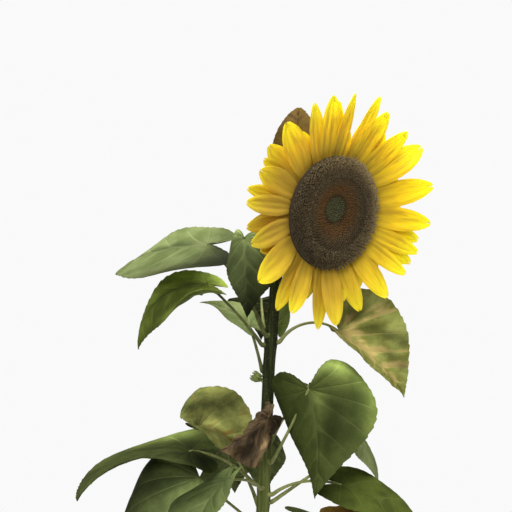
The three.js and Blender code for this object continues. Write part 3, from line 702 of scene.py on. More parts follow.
def stalk_and_ribs(leaf):
    """The stalk, the midrib under the blade and the side veins, as one joined mesh in metres."""
    line = leaf.stalk_line
    f = np.linspace(0, len(line) - 1, STALK_RINGS)
    stalk = smooth_line(line, f)
    stalk[0] -= direction(leaf.side, 0) * STALK_SUNK
    t = np.clip((f - 1) / leaf.STALK_STEPS, 0, 1)
    level = direction(leaf.side + (leaf.turn - leaf.side) * t * t + 90, 0)
    ups = np.cross(np.gradient(stalk, axis=0), level)
    radii = np.interp(t, (0, 0.3, 1), STALK_RADII) + STALK_SWELL * np.exp(-f / 0.5)
    s = np.linspace(0.03, 0.96, RIB_RINGS)
    middle, normals = leaf.surface(s, np.zeros_like(s))
    rib_radii = RIB_ROOT * (1 - s) ** 0.8 + RIB_TIP
    under = middle - normals * (0.75 * rib_radii)[:, None]
    path, ups = np.vstack([stalk, under]), np.vstack([ups, normals])
    parts = [tube(path, np.hstack([radii, rib_radii]), ups, STALK_SIDES, STALK_GROOVE)]
    for vein in VEINS[2:-2]:
        root = VEIN_ROOT if vein < FINE_FROM else FINE_VEIN_ROOT
        for sign in (-1, 1):
            v = sign * np.linspace(0.03, 0.9, VEIN_RINGS)
            along, lean = leaf.surface(np.full(VEIN_RINGS, vein), v)
            thin = np.interp(np.abs(v), (0, 0.9), (root, VEIN_TIP)) * leaf.width / VEINS_FOR_WIDTH
            parts.append(tube(along - lean * (0.8 * thin)[:, None], thin, lean, VEIN_SIDES))
    return one_mesh(parts)


# Each look's colours: upper side, its darker clouds, veins, underside, what is dry, and how much of it is.
LOOKS = {
    # pale: partly the leaves' own grey-green, partly a painted sheen of the sky on their upper sides.
    "pale": ((130, 142, 92), (100, 114, 66), (160, 170, 116), (128, 138, 92), (120, 110, 60), 0.0),
    "green": ((96, 108, 54), (72, 83, 40), (122, 134, 76), (108, 118, 70), (116, 100, 50), 0.0),
    "olive": ((100, 114, 46), (76, 88, 36), (124, 136, 68), (104, 114, 60), (112, 92, 44), 0.0),
    "dark": ((75, 84, 48), (53, 61, 34), (102, 112, 66), (92, 102, 60), (96, 84, 44), 0.0),
    "grey": ((112, 126, 76), (84, 98, 54), (146, 156, 104), (120, 130, 84), (110, 100, 60), 0.0),
    "yellowing": ((160, 164, 90), (92, 99, 52), (172, 176, 104), (120, 126, 68), (132, 106, 52), 0.1),
    "tan": ((122, 128, 68), (88, 90, 38), (160, 148, 92), (150, 134, 78), (148, 132, 82), 0.55),
    "brown": ((150, 118, 48), (122, 94, 36), (160, 128, 60), (116, 94, 48), (104, 78, 34), 0.3),
    "withered": ((116, 96, 68), (70, 60, 46), (130, 108, 78), (94, 78, 56), (60, 50, 40), 0.5),
}


def painted(near, name):
    """The colour that a mesh carries on its own points or corners, for the material that near is in."""
    return node(near.id_data, "ShaderNodeAttribute", attribute_name=name).outputs["Color"]


def own_map(near):
    """The piece's own map, along it and across, for the material that near is in."""
    return node(near.id_data, "ShaderNodeUVMap").outputs[0]


def vein_mask(place):
    """1 on the veins and 0 between them. The blade's map counts the veins along it and runs across it."""
    phase, across, _ = split(own_map(place))
    out = times(sums("ABSOLUTE", sums("SUBTRACT", across, 0.5)), 2.0)
    to_vein = sums("PINGPONG", phase, 0.5)
    side = ramp(times(to_vein, plus(out, 0.05)), 0.008, 0.034, 1.0, 0.0)
    side = times(side, ramp(out, 0.75, 1.0, 1.0, 0.2))
    middle = ramp(out, 0.012, 0.05, 1.0, 0.0)
    return sums("MAXIMUM", side, middle), phase, out


def leaf_net(place, inside, on_edge):
    """The fine net of a blade's smallest veins."""
    inputs = {"Vector": place, "Scale": 330.0}
    cells = node(place.id_data, "ShaderNodeTexVoronoi", inputs, feature="DISTANCE_TO_EDGE").outputs[0]
    return ramp(cells, 0.0, 0.16, on_edge, inside)


def with_painted_light(colour):
    """The colour, times the painted light and shade that the blade carries on its corners."""
    inputs = {0: colour, 1: painted(colour, "painted_light_tone")}
    return node(colour.id_data, "ShaderNodeVectorMath", inputs, operation="MULTIPLY").outputs[0]


def leaf_finishes(look):
    """The upper and the under finish of one look."""
    upper, shade, vein, under, dry, dryness = LOOKS[look]

    def top_colour(place):
        veins, phase, out = vein_mask(place)
        colour = blend(ramp(cloud(place, 26.0, 4.0), 0.36, 0.66), upper, shade)
        colour = blend(ramp(cloud(place, 170.0), 0.4, 0.75, 0.0, 0.35), colour, shade)
        if dryness:
            inputs = {0: phase, 1: times(out, 0.6)}
            stripe = node(place.id_data, "ShaderNodeCombineXYZ", inputs).outputs[0]
            patch = plus(cloud(stripe, 1.6, 4.0), cloud(place, 34.0))
            band = times(sums("SUBTRACT", sums("FRACT", phase), 0.5), 0.4)
            patch = plus(patch, plus(band, ramp(out, 0.1, 0.6, 0.2, -0.05)))
            start = 1.22 - 0.34 * dryness
            colour = blend(ramp(patch, start - 0.06, start + 0.22, 0.0, 0.9), colour, dry)
        return with_painted_light(blend(times(veins, 0.32), colour, vein))

    def top_relief(place):
        veins, _, _ = vein_mask(place)
        net = times(leaf_net(place, 1.0, 0.0), 0.6)
        down = times(cloud(place, 900.0, 2.0), 0.35)
        return plus(sums("SUBTRACT", net, veins), down)

    def under_colour(place):
        return with_painted_light(blend(ramp(cloud(place, 60.0), 0.35, 0.7), under, shade))

    def under_relief(place):
        return leaf_net(place, 0.0, 1.0)

    return (
        finish(f"{look} leaf", 0.7, top_colour, top_relief, NET_DEPTH, through=LEAF_THROUGH, gloss=0.04),
        finish(
            f"{look} leaf underside", 0.8, under_colour, under_relief, NET_DEPTH,
            through=LEAF_THROUGH, gloss=0.03,
        ),
    )


def streaked(first, second):
    """A colour function for a green leaf stalk, with soft streaks along it."""
    return lambda place: blend(ramp(cloud(place, 220.0, 3.0, (1, 1, 0.3)), 0.35, 0.7), first, second)


stalk_finish = finish(
    "leaf stalk", 0.55, streaked((108, 114, 62), (134, 138, 82)), sheen=0.03, through=0.1, gloss=0.25
)
# Painted shade: a darker copy of the stalk finish for the stalks that lie in shade behind the head and the
# upper leaves.
shaded_stalk_finish = finish(
    "shaded leaf stalk", 0.6, streaked((74, 78, 42), (94, 98, 58)), through=0.1, gloss=0.15
)
dry_stalk_finish = finish("dry leaf stalk", 0.75, mottled(90.0, (66, 54, 38), (104, 88, 62)), gloss=0.1)
leaf_looks = {look: leaf_finishes(look) for look in LOOKS}
SHADED_STALKS = ("top_left", "under_head", "arched_left", "small_left")


def corner_places(piece):
    """Where each face's corners lie on the piece's own map, one row each."""
    return np.array([loop.uv[:] for loop in piece.data.uv_layers.active.data])


def paint(piece, name, domain, colours):
    """Gives the piece its own colours, one row for each point or corner."""
    layer = piece.data.color_attributes.new(name, "FLOAT_COLOR", domain)
    layer.data.foreach_set("color", np.asarray(colours, np.float32).ravel())


def join(pieces):
    """Joins the pieces into the first one."""
    alone(pieces[0])
    for piece in pieces[1:]:
        piece.select_set(True)
    bpy.ops.object.join()


for row in leaf_rows:
    leaf = Leaf(row)
    blade = grid_sheet(
        leaf.name + "_leaf", BLADE_ROWS, BLADE_COLUMNS, lambda s, v: leaf.surface(s, v)[0] * MM
    )
    # Painted light and shade, carried as a colour on the blade's corners: its tones, then its soft marks.
    at_joint, at_tip, on_right, on_left = PAINTED_LIGHT_TONES.get(leaf.name, TONE)
    along, across = np.hsplit(corner_places(blade), 2)
    light = (at_joint + (at_tip - at_joint) * along) * (on_right + (on_left - on_right) * across)
    # Each mark's painted light or shade fades softly from its middle.
    for s, v, reach_s, reach_v, gain in PAINTED_LIGHT_MARKS.get(leaf.name, []):
        apart = ((along - s) / reach_s) ** 2 + ((2 * across - 1 - v) / reach_v) ** 2
        light *= gain ** np.exp(-apart)
    paint(blade, "painted_light_tone", "CORNER", np.repeat(light, 4, 1))
    for loop in blade.data.uv_layers.active.data:
        loop.uv.x = np.interp(loop.uv.x, VEINS, np.arange(len(VEINS)))
    for finish_of_side in leaf_looks[leaf.look]:
        blade.data.materials.append(finish_of_side)
    weld_and_thicken(blade, BLADE_THICK * MM * max(1, leaf.blade / THICKER_PAST), 1)
    # Stalks that lie in shade get the painted shade copy.
    rib_finish = shaded_stalk_finish if leaf.name in SHADED_STALKS else stalk_finish
    if leaf.look in ("brown", "withered"):
        rib_finish = dry_stalk_finish
    join([blade, mesh_piece(leaf.name + "_ribs", *stalk_and_ribs(leaf), rib_finish)])
    smooth_faces(blade, 50)
    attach(blade, "root")
    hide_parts("leaf_" + row["name"])


# Side bud: a small unopened bud that stands on the left of the stem, a short green stalk with a knob on it.
# Narrow green scales lie round the knob in a spiral and are one mesh with it.
BUD_AT = 1068
BUD_SIDE = 186
BUD_PITCH = 32
BUD_SUNK = 1
BUD_PROFILE = np.array([(0, 2.4), (3, 2.0), (6, 4.0), (10, 4.8), (13, 3.4), (15, 1.2)])
BUD_RINGS = 12
BUD_SIDES = 14
BUD_SCALES = 14
SCALE_ROOTS = (4.5, 6.25, 8)
SCALE_LENGTH = 10
SCALE_RADIUS = 1.5
SCALE_OUT = 4.2
SCALE_ARCH = 1.6
SCALE_RINGS = 7
SCALE_SIDES = 6
SCALE_TURN = 2.4

bud_along = direction(BUD_SIDE, BUD_PITCH)
bud_right = unit(np.cross(bud_along, [0, 0, 1.0]))
bud_up = np.cross(bud_right, bud_along)
bud_reach = stem_radius(BUD_AT * MM) / MM - BUD_SUNK
bud_root = stem_centre(BUD_AT * MM) / MM + direction(BUD_SIDE, 0) * bud_reach
steps = np.linspace(0, BUD_PROFILE[-1, 0], BUD_RINGS)
bud_radii = np.interp(steps, *BUD_PROFILE.T)
bud_ups = np.tile([0.0, 0.0, 1.0], (BUD_RINGS, 1))
bud_parts = [tube(bud_root + np.outer(steps, bud_along), bud_radii, bud_ups, BUD_SIDES)]
s = np.linspace(0, 1, SCALE_RINGS)
for i in range(BUD_SCALES):
    turn = i * SCALE_TURN
    out = bud_right * math.cos(turn) + bud_up * math.sin(turn)
    path = bud_root + np.outer(SCALE_ROOTS[i % 3] + SCALE_LENGTH * s, bud_along)
    path = path + np.outer(SCALE_OUT + SCALE_ARCH * np.sin(2.6 * s), out)
    radii = SCALE_RADIUS * np.sin(math.pi * (0.12 + 0.86 * s)) ** 0.8 + 0.1
    bud_parts.append(tube(path, radii, np.tile(out, (SCALE_RINGS, 1)), SCALE_SIDES))
bud_finish = finish("bud green", 0.6, mottled(300.0, (84, 98, 46), (118, 130, 70)))
bud = mesh_piece("side_bud_scales", *one_mesh(bud_parts), bud_finish)
smooth_faces(bud, 60)
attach(bud, "root")
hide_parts("side_bud")


# Neck: the green stalk that bends over from the stem's tip and widens into the back of the head. The head
# looks to the right and a little down. Its parts are set out round that axis: a clock angle from the top to
# the camera's right, a distance from the axis, and a height along it.
HEAD = np.array([96, -40, 1291])
HEAD_AXIS = unit(np.array([0.609, -0.785, -0.116]))
HEAD_RIGHT = unit(np.cross([0, 0, 1.0], HEAD_AXIS))
HEAD_TWELVE = np.cross(HEAD_AXIS, HEAD_RIGHT)
RECEPTACLE_BACK = -38
NECK_START = np.array([0.15, 0.08, 1])
NECK_STRAIGHT = 26
NECK_RADIUS = 7
NECK_WIDENS = 5
NECK_SUNK = 1
NECK_END_SUNK = 2
NECK_LENGTH = 100
NECK_RINGS = 40
NECK_SIDE = (-0.785, -0.609, 0.05)


def on_head(clock, radius, height, aside=0.0):
    """Places on the head: clock in degrees, distance from its axis, height along it, and a step aside."""
    c = np.radians(clock)
    right = radius * np.sin(c) + aside * np.cos(c)
    twelve = radius * np.cos(c) - aside * np.sin(c)
    right, twelve, height = (part[..., None] for part in np.broadcast_arrays(right, twelve, height))
    return HEAD + right * HEAD_RIGHT + twelve * HEAD_TWELVE + height * HEAD_AXIS


neck_foot = stem_centre(STEM_TOP) / MM
neck_end = on_head(0.0, 0.0, RECEPTACLE_BACK + NECK_END_SUNK)
neck_bends = [
    neck_foot,
    neck_foot + NECK_STRAIGHT * NECK_START,
    neck_end - NECK_STRAIGHT * HEAD_AXIS,
    neck_end,
]
t = np.linspace(0, 1, NECK_RINGS)[:, None]
neck_path = (
    (1 - t) ** 3 * neck_bends[0] + 3 * (1 - t) ** 2 * t * neck_bends[1]
    + 3 * (1 - t) * t**2 * neck_bends[2] + t**3 * neck_bends[3]
)
neck_path[0, 2] -= NECK_SUNK
neck_radii = NECK_RADIUS + NECK_WIDENS * t[:, 0] ** 2
neck_points, neck_faces = tube(neck_path, neck_radii, np.tile(NECK_SIDE, (NECK_RINGS, 1)), STEM_SIDES)
turn = np.tile(np.arange(STEM_SIDES) * 2 * math.pi / STEM_SIDES, NECK_RINGS)
spoke = unit(neck_points[:-2] - np.repeat(neck_path, STEM_SIDES, 0))
relief = RIB_DEPTH / MM * ribbed(turn, np.repeat(t[:, 0] * NECK_LENGTH * MM, STEM_SIDES))
neck_points[:-2] += spoke * relief[:, None]
neck = mesh_piece("neck_stalk", neck_points * MM, neck_faces, stem_skin)
face_outwards(neck)
smooth_faces(neck, 60)
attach(neck, "root")
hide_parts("neck")


# Receptacle: the fleshy green plate that carries the flower, hidden from behind by three rows of pointed
# bracts, the outer ones standing out past its edge. It is drawn up from the neck's end, with a slightly wavy
# edge, and the bracts are joined to it.
RECEPTACLE_FRONT = -6.2
RECEPTACLE_PROFILE = [
    (11, RECEPTACLE_BACK), (13, RECEPTACLE_BACK), (20, RECEPTACLE_BACK + 2), (29, RECEPTACLE_BACK + 5.5),
    (40, RECEPTACLE_BACK + 10), (50, RECEPTACLE_BACK + 15), (60, RECEPTACLE_BACK + 20.5), (66.5, -13.5),
    (70.5, -10), (71.5, -8), (70.5, RECEPTACLE_FRONT), (60, RECEPTACLE_FRONT),
]
RECEPTACLE_SIDES = 64
EDGE_WAVE = 0.012
EDGE_WAVES = 20
BRACT_ROWS = [
    dict(count=22, root=58, length=44, width=17, height=-11.5, cup=-3, lift=(0, 16)),
    dict(count=20, root=44, length=42, width=18, height=-18.6, cup=4, lift=(-4, 10)),
    dict(count=16, root=28, length=38, width=16, height=-29.2, cup=12, lift=(-4, 10)),
]
BRACT_ROWS_APART = 0.3
BRACT_THICK = 0.7
BRACT_CHANNEL = 0.16
BRACT_BOW = -0.8
BRACT_GRID = (14, 6)
RAY_STEPS = 40


def set_on_head(piece):
    """Takes a piece from round +Z at the origin, in metres, to the head."""
    points = points_of(piece) / MM
    placed = HEAD + points[:, :1] * HEAD_RIGHT + points[:, 1:2] * HEAD_TWELVE + points[:, 2:] * HEAD_AXIS
    set_points(piece, placed * MM)
    face_outwards(piece)


receptacle = drawn_up("receptacle_plate", RECEPTACLE_SIDES, MM * np.array(RECEPTACLE_PROFILE))
plate = points_of(receptacle)
plate_turn = np.arctan2(plate[:, 1], plate[:, 0])
plate[:, :2] *= (1 + EDGE_WAVE * np.sin(EDGE_WAVES * plate_turn))[:, None]
set_points(receptacle, plate)
set_on_head(receptacle)


def bract_colour(place):
    streaks = cloud(place, 180.0, 4.0)
    colour = blend(ramp(streaks, 0.35, 0.7), (78, 94, 42), (112, 126, 66))
    return blend(ramp(cloud(place, 45.0), 0.6, 0.78), colour, (120, 106, 60))


def bract_relief(place):
    return cloud(place, 420.0)


bract_finish = finish("bract green", 0.65, bract_colour, bract_relief, sheen=0.15, through=0.1)
receptacle.data.materials.append(bract_finish)


def ray_surface(s, v, clock, root, length, half_width, height, cup, lift, channel, bow=0, twist=0, sway=0):
    """A pointed ray that leaves the head at a clock angle: s along it and v across, in millimetres."""
    steps = np.linspace(0, 1, RAY_STEPS + 1)
    pitch = np.radians(cup + lift * steps[1:])
    pace = length / RAY_STEPS
    out = root + np.concatenate([[0], np.cumsum(np.cos(pitch) * pace)])
    rise = height + np.concatenate([[0], np.cumsum(np.sin(pitch) * pace)])
    half = half_width(s)
    edge = np.abs(v) * channel * half + bow * np.sin(math.pi * s) * v * v
    aside = v * half + sway * s * s
    roll = twist * s * v * half
    return on_head(clock, np.interp(s, steps, out), np.interp(s, steps, rise) + edge + roll, aside)


def bract(band, clock):
    """One bract of a row, a pointed scale that differs a little from the next."""
    length = band["length"] * dice.uniform(0.88, 1.06)
    lift = dice.uniform(*band["lift"])
    cup = band["cup"] + dice.normal(0, 2.5)

    def half_width(s):
        return band["width"] / 2 * (0.75 + 0.9 * s) * np.clip(1 - s, 0, 1) ** 0.75 + 0.2

    def shape(s, v):
        return MM * ray_surface(
            s, v, clock, band["root"], length, half_width, band["height"], cup, lift, BRACT_CHANNEL, BRACT_BOW
        )

    scale = grid_sheet("scale", *BRACT_GRID, shape)
    scale.data.materials.append(bract_finish)
    weld_and_thicken(scale, BRACT_THICK * MM)
    return scale


dice = np.random.default_rng(11)
scales = []
for order, band in enumerate(BRACT_ROWS):
    for i in range(band["count"]):
        clock = 360 * (i + 0.5 + BRACT_ROWS_APART * order) / band["count"] + dice.normal(0, 2)
        scales.append(bract(band, clock))
join([receptacle, *scales])
smooth_faces(receptacle, 50)
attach(receptacle, "root")
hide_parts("receptacle")


# Ray petals: two whorls of silky yellow petals, rooted between receptacle and disc. Each is a thin strip,
# pleated lengthwise, with a tapering end cut into two or three small teeth. Rows give a petal's clock angle,
# length and width in millimetres.
FRONT_PETALS = [
    (0, 84, 25), (17, 88, 20), (27, 77, 34), (44, 79, 32), (57, 90, 33), (77, 92, 34), (95, 93, 30),
    (111, 86, 24), (124, 82, 24), (140, 79, 32), (158, 71, 26), (178, 76, 32), (209, 71, 28), (239, 80, 34),
    (258, 75, 28), (277, 90, 24), (293, 74, 30), (316, 88, 32), (336, 80, 27), (347, 83, 30),
]
BACK_PETALS = [
    (355, 72, 25), (6, 40, 22), (21, 64, 24), (36, 56, 28), (51, 70, 26), (68, 46, 28), (87, 48, 28),
    (104, 89, 26), (117, 88, 24), (132, 46, 26), (150, 46, 26), (168, 50, 26), (186, 80, 27), (198, 44, 26),
    (217, 76, 26), (229, 46, 26), (249, 51, 28), (266, 75, 26), (284, 77, 20), (299, 71, 22), (305, 74, 30),
    (327, 50, 26),
]
# Piece, rows, height on the head's axis and pitch of each whorl.
WHORLS = [("front_petals", FRONT_PETALS, -3.4, 15), ("back_petals", BACK_PETALS, -5.0, 9)]
# The rows' lengths count from the ring, and the petals are rooted further in.
PETAL_ROOT = 64
PETAL_RING = 70
PETAL_THICK = 0.45
PETAL_GRID = (34, 14)
PETAL_CHANNEL = 0.12
WIDE_PETAL = 29
PETAL_LEMON = (255, 248, 30)
PETAL_YELLOW = (246, 217, 30)
PETAL_GOLD = (212, 176, 56)
PETAL_BASE = (160, 128, 36)
PETAL_STREAK = (168, 134, 32)
PETAL_PATCH = (196, 160, 34)
# Painted light and shade: the whorls are lemon at this clock angle, on the side where the light falls, and
# golden on the shaded side opposite it. Each petal's map is moved along by its own number of steps, so that
# no two have the same streaks.
LIT_PETAL_CLOCK = 55
MAP_STEP = 3


def petal_half(s, width):
    """Half the petal's width: a narrow claw, widest in the middle, and a tapering end."""
    places = (0, 0.12, 0.3, 0.5, 0.66, 0.8, 0.9, 0.97, 1)
    return width / 2 * np.interp(s, places, (0.46, 0.76, 0.98, 1.03, 0.96, 0.77, 0.53, 0.3, 0.1))


def petal_teeth(s, v, teeth, first):
    """How far the teeth and notches of the end move a place along the petal, in petal lengths."""
    notch = 0.5 + 0.5 * np.cos(math.pi * (teeth * v + first))
    return -0.1 * notch * np.clip((s - 0.82) / 0.18, 0, 1) ** 1.5


def petal_colour(place):
    uv = own_map(place)
    steps, _, _ = split(uv)
    lines = cloud(uv, 1.0, 3.0, (1.6, 34, 1))
    soft = cloud(uv, 1.0, 2.0, (2.2, 5, 1))
    along = sums("FRACT", times(steps, 1 / MAP_STEP))
    worn = ramp(along, 0.2, 0.34, 1.0, 0.2)
    patches = times(ramp(soft, 0.42, 0.7, 0.0, 0.6), worn)
    streaks = times(ramp(lines, 0.5, 0.72, 0.0, 0.5), worn)
    return blend(streaks, blend(patches, painted(place, "tint"), PETAL_PATCH), PETAL_STREAK)


def petal_relief(place):
    return cloud(own_map(place), 1.0, 2.0, (1.0, 40, 1))


petal_finish = finish(
    "petal yellow", 0.55, petal_colour, petal_relief, 0.4 * MM, sheen=0.1, through=0.45, gloss=0.25
)


def mix_colours(first, second, share):
    return np.array([a + (b - a) * min(max(share, 0), 1) for a, b in zip(rgb(first), rgb(second))])


def petal(name, clock, length, width, height, cup, order):
    """One petal, with the bends, teeth and colour that its place in the whorl gives it."""
    length = length + PETAL_RING - PETAL_ROOT
    teeth = 3 if width > WIDE_PETAL else 2
    first = dice.uniform(-0.25, 0.25) + (1 if teeth == 2 else 0)
    bends = dict(
        lift=3 * math.cos(2.2 * order) + dice.normal(0, 1.5),
        bow=dice.normal(0.6, 0.8),
        twist=dice.normal(0, 0.2),
        sway=dice.normal(0, 1),
    )
    pleat = dice.uniform(0.4, 0.8)

    def shape(s, v):
        spread = ray_surface(
            s + petal_teeth(s, v, teeth, first), v, clock, PETAL_ROOT, length, lambda q: petal_half(s, width),
            height, cup + 1.2 * math.sin(3.1 * order), channel=PETAL_CHANNEL, **bends,
        )
        ridges = pleat * (np.cos(3 * math.pi * v) - 1) * np.sin(math.pi * np.clip(s, 0.03, 0.97)) ** 0.6
        return (spread + ridges[:, None] * HEAD_AXIS) * MM

    blade = grid_sheet(name, *PETAL_GRID, shape)
    blade.data.materials.append(petal_finish)
    # Painted light and shade: lemon towards the lit side of the whorl, golden towards the shaded side; how
    # golden also varies at random from petal to petal.
    shaded_gold = (0.5 - 0.5 * math.cos(math.radians(clock - LIT_PETAL_CLOCK))) ** 1.3 * dice.uniform(0.6, 1.25)
    tip = mix_colours(PETAL_LEMON, PETAL_GOLD, 0.6 * shaded_gold)
    body = mix_colours(PETAL_YELLOW, PETAL_GOLD, shaded_gold)
    base = mix_colours(PETAL_BASE, PETAL_GOLD, 0.2 + 0.6 * shaded_gold)
    s = corner_places(blade)[:, :1]
    up = np.clip((s - 0.5) / 0.4, 0, 1)
    down = np.clip(1 - s / 0.5, 0, 1) ** 1.2
    paint(blade, "tint", "CORNER", (body * (1 - up) + tip * up) * (1 - down) + base * down)
    for loop in blade.data.uv_layers.active.data:
        loop.uv.x += MAP_STEP * order
    weld_and_thicken(blade, PETAL_THICK * MM)
    return blade


dice = np.random.default_rng(23)
for whorl, rows, height, cup in WHORLS:
    petals = [petal(whorl, *row, height, cup, i) for i, row in enumerate(rows)]
    join(petals)
    made = petals[0]
    made.name = whorl
    smooth_faces(made, 50)
    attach(made, "root")
    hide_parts("ray_petals")


# Disc: a low cushion packed with florets in crossing spirals. The outer ones are open, brown and downy, the
# next darker and going over, then a rusty ring, and closed green buds sit in the middle. The cushion is drawn
# up, and the florets are small six-sided cups on it, one joined mesh.
DISC_BACK = -2.2
CUSHION_PROFILE = [
    (66, DISC_BACK), (70, DISC_BACK + 0.8), (71.5, 1), (69.5, 4.5), (64, 7.5), (56, 9), (40, 9.5), (26, 8),
    (14, 5.8), (5, 5.4),
]
CUSHION_SIDES = 64
FLORET_BED = np.array([(0.2, 7.4), (9, 7), (20, 8.5), (40, 11), (58, 10), (69, 5.5), (72, 1)])
FLORET_SUNK = 1.6
FLORET_WANDER = 0.12
FLORET_LOBES = 0.25
FLORET_LEAN = 0.9
OPEN_FROM = 0.55
OPEN_OVER = 0.2
FLORET_REACH = 68.5
FLORETS = 1750
FLORET_SIDES = 6
GOLDEN_TURN = 180 * (3 - math.sqrt(5))
DISC_RIM = 70.5
# How far right and up the middle of the spirals sits from the disc's middle.
EYE_SHIFT = (-3, 7)
# Colours from the middle, 0, to the rim, 1.
ZONES = [
    (0, (74, 74, 52)), (0.22, (70, 70, 46)), (0.25, (46, 40, 24)), (0.3, (84, 60, 30)), (0.42, (88, 62, 32)),
    (0.54, (76, 62, 40)), (0.66, (66, 56, 38)), (0.8, (72, 60, 40)), (0.9, (102, 88, 60)),
    (1.0, (118, 104, 74)),
]
FLORET_SHADE = (34, 26, 16)
PAINTED_RIM_LIGHT = 0.7
RIM_LIGHT_CLOCK = 45
# Radius and height of a floret's rings, as shares, closed in the middle and open at the rim, and the painted
# shade on the rings and the tip, darkest at the foot, where the florets shade each other.
CLOSED = np.array([(0.7, 0), (1.0, 0.45), (0.75, 0.8), (0.25, 1.0)])
OPEN = np.array([(0.5, 0), (0.55, 0.55), (0.95, 0.9), (0.55, 0.8)])
RING_PAINTED_SHADE = (0.56, 0.8, 1.0, 0.84)
TIP_PAINTED_SHADE = 0.7

cushion = drawn_up("disc_cushion", CUSHION_SIDES, MM * np.array(CUSHION_PROFILE))
set_on_head(cushion)
cushion.data.materials.append(finish("disc bed", 0.9, mottled(260.0, (30, 23, 14), (52, 40, 24))))
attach(cushion, "root")
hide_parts("disc")


def floret_colour(place):
    grain = cloud(place, 420.0)
    return blend(ramp(grain, 0.4, 0.72, 0.0, 0.45), painted(place, "tint"), FLORET_SHADE)


def floret_faces():
    """The faces of one floret: its walls, from ring to ring, the tip that closes it, and its foot."""
    rings = len(CLOSED)
    faces = []
    for ring in range(rings):
        for j in range(FLORET_SIDES):
            a, b = ring * FLORET_SIDES + j, ring * FLORET_SIDES + (j + 1) % FLORET_SIDES
            if ring < rings - 1:
                faces += [(a, a + FLORET_SIDES, b + FLORET_SIDES), (a, b + FLORET_SIDES, b)]
            else:
                faces.append((a, rings * FLORET_SIDES, b))
    return np.array(faces + [(0, j, j + 1) for j in range(1, FLORET_SIDES - 1)])


floret_finish = finish("floret", 0.85, floret_colour, sheen=0.04, gloss=0.06)
dice = np.random.default_rng(31)
order = np.arange(FLORETS)
share = np.sqrt((order + 0.5) / FLORETS)
seed_turn = np.radians(GOLDEN_TURN * order)
to_right = FLORET_REACH * share * np.sin(seed_turn) + EYE_SHIFT[0] * (1 - share)
to_twelve = FLORET_REACH * share * np.cos(seed_turn) + EYE_SHIFT[1] * (1 - share)
floret_radius = np.hypot(to_right, to_twelve)
floret_clock = np.degrees(np.arctan2(to_right, to_twelve))
floret_root = np.interp(floret_radius, *FLORET_BED.T) - FLORET_SUNK
bed_slope = np.gradient(FLORET_BED[:, 1], FLORET_BED[:, 0])
floret_slope = np.interp(floret_radius, FLORET_BED[:, 0], bed_slope)

tints = read_off(share, [place for place, _ in ZONES], np.array([rgb(colour)[:3] for _, colour in ZONES]))
tints *= dice.uniform(0.84, 1.16, (FLORETS, 1))
# Painted highlight: the outer florets are lighter towards the upper right, where the light catches the rim,
# and darker on the opposite side.
painted_rim_light = np.clip((share - 0.7) / 0.2, 0, 1) * np.cos(np.radians(floret_clock - RIM_LIGHT_CLOCK))
tints *= 1 + PAINTED_RIM_LIGHT * painted_rim_light[:, None]
spacing = DISC_RIM * math.sqrt(math.pi / FLORETS)
floret_width = spacing * np.interp(share, (0, 0.2, 1), (0.46, 0.5, 0.55))
floret_tall = np.interp(share, (0, 0.18, 0.24, 0.38, 0.6, 0.75, 1), (2.2, 2.4, 2.2, 2.6, 3.0, 4.0, 4.6))
floret_tall = floret_tall * dice.uniform(0.8, 1.15, FLORETS)
openness = np.clip((share - OPEN_FROM) / OPEN_OVER, 0, 1)[:, None, None]
rings = CLOSED[None] * (1 - openness) + OPEN[None] * openness
turns = 2 * math.pi * np.arange(FLORET_SIDES) / FLORET_SIDES
lobes = 1 + FLORET_LOBES * np.cos(3 * turns)
radii = rings[:, :, 0] * floret_width[:, None]
tall = rings[:, :, 1] * floret_tall[:, None]
lean = np.clip(-floret_slope * FLORET_LEAN, -0.6, 1.6)[:, None]
lean = lean + dice.normal(0, FLORET_WANDER, (FLORETS, 1))
around = dice.normal(0, FLORET_WANDER, (FLORETS, 1))
aside = radii[:, :, None] * np.cos(turns) * lobes + (around * tall)[:, :, None]
inward = radii[:, :, None] * np.sin(turns) * lobes + (lean * tall)[:, :, None]
level = floret_root[:, None] + tall
floret_points = on_head(
    floret_clock[:, None, None], floret_radius[:, None, None] + inward, level[:, :, None], aside
)
tip = tall[:, 3]
tips = on_head(floret_clock, floret_radius + lean[:, 0] * tip, floret_root + tip, around[:, 0] * tip)
count = len(CLOSED) * FLORET_SIDES + 1
points = np.concatenate([floret_points.reshape(FLORETS, count - 1, 3), tips[:, None]], 1)
all_faces = (count * order[:, None, None] + floret_faces()).reshape(-1, 3)
florets = mesh_piece("disc_florets", points.reshape(-1, 3) * MM, all_faces, floret_finish)
face_outwards(florets)
# Painted shade down each floret, darkest at its foot among the others.
ring_painted_shade = np.tile([*np.repeat(RING_PAINTED_SHADE, FLORET_SIDES), TIP_PAINTED_SHADE], FLORETS)
colours = np.ones((FLORETS * count, 4))
colours[:, :3] = np.repeat(tints, count, 0) * ring_painted_shade[:, None]
paint(florets, "tint", "POINT", np.clip(colours, 0, 1))
smooth_faces(florets, 60)
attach(florets, "root")


# Stigmas and down: the open florets' curled tips, fine pale threads that make the disc's rim look furry.
# Each is a thin spike set in among the florets, and all are one joined mesh.
STIGMAS = 4200
STIGMA_LENGTH = 2.4
STIGMA_RADIUS = 0.2
STIGMA_ROOT = 1.4

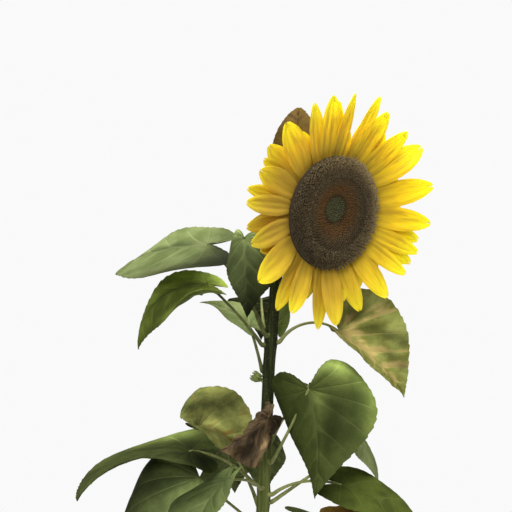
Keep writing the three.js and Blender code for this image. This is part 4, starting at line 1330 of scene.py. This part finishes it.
dice = np.random.default_rng(41)
thread_radius = DISC_RIM * dice.uniform(0.5, 1, STIGMAS) ** 0.6
thread_clock = dice.uniform(0, 360, STIGMAS)
thread_level = np.interp(thread_radius, *FLORET_BED.T) + STIGMA_ROOT
thread_roots = on_head(thread_clock, thread_radius, thread_level)
thread_ends = on_head(
    thread_clock + dice.normal(0, 1.2, STIGMAS),
    thread_radius + dice.normal(0.6, 1.2, STIGMAS),
    thread_level + STIGMA_LENGTH * dice.uniform(0.6, 1.1, STIGMAS),
)
thread_leans = thread_ends - thread_roots
thread_lengths = np.linalg.norm(thread_leans, axis=1)
thread_points, thread_faces = spikes(thread_roots, thread_leans, thread_lengths, STIGMA_RADIUS)
thread_finish = finish("floret down", 0.8, mottled(60.0, (116, 101, 70), (86, 73, 50)), sheen=0.05)
threads = mesh_piece("disc_down", thread_points * MM, thread_faces, thread_finish)
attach(threads, "root")


# Ground and light: a plain pale floor, a broad soft lamp overhead, a weaker one from the front left, and a
# pale room all round, brighter where the camera sees it.
FLOOR_SIZE = 3.2

bpy.ops.object.select_all(action="DESELECT")
bpy.ops.mesh.primitive_plane_add(size=FLOOR_SIZE, location=(0, 0, 0))
floor = bpy.context.object
floor.name = "floor"
floor.data.materials.append(finish("floor pale", 0.9, mottled(3.0, (232, 231, 228), (226, 225, 222))))


def lamp(name, place, aim, size, power, tint):
    """A round soft lamp that shines from its place towards aim."""
    bpy.ops.object.light_add(type="AREA", location=place)
    made = bpy.context.object
    made.name = name
    made.rotation_euler = (Vector(aim) - Vector(place)).to_track_quat("-Z", "Y").to_euler()
    made.data.shape = "DISK"
    made.data.size = size
    made.data.energy = power
    made.data.color = tint


lamp("overhead lamp", place=(0.2, 0, 3.1), aim=(0, 0, 1.1), size=2.4, power=165, tint=(1, 0.98, 0.94))
lamp("front lamp", place=(-0.6, -2.4, 2.3), aim=(0.05, 0, 1.2), size=1.2, power=68, tint=(1, 0.99, 0.96))

world = bpy.data.worlds.new("pale room")
bpy.context.scene.world = world
world.use_nodes = True
air = world.node_tree
room = air.nodes["Background"]
room.inputs["Color"].default_value = (1.0, 0.99, 0.95, 1)
room.inputs["Strength"].default_value = 0.33
backdrop = node(air, "ShaderNodeBackground", {"Color": (1, 1, 1, 1), "Strength": 0.95})
seen = node(air, "ShaderNodeLightPath").outputs["Is Camera Ray"]
both = node(air, "ShaderNodeMixShader", {0: seen, 1: room.outputs[0], 2: backdrop.outputs[0]})
air.links.new(both.outputs[0], air.nodes["World Output"].inputs["Surface"])
bpy.context.scene.view_settings.view_transform = "Standard"
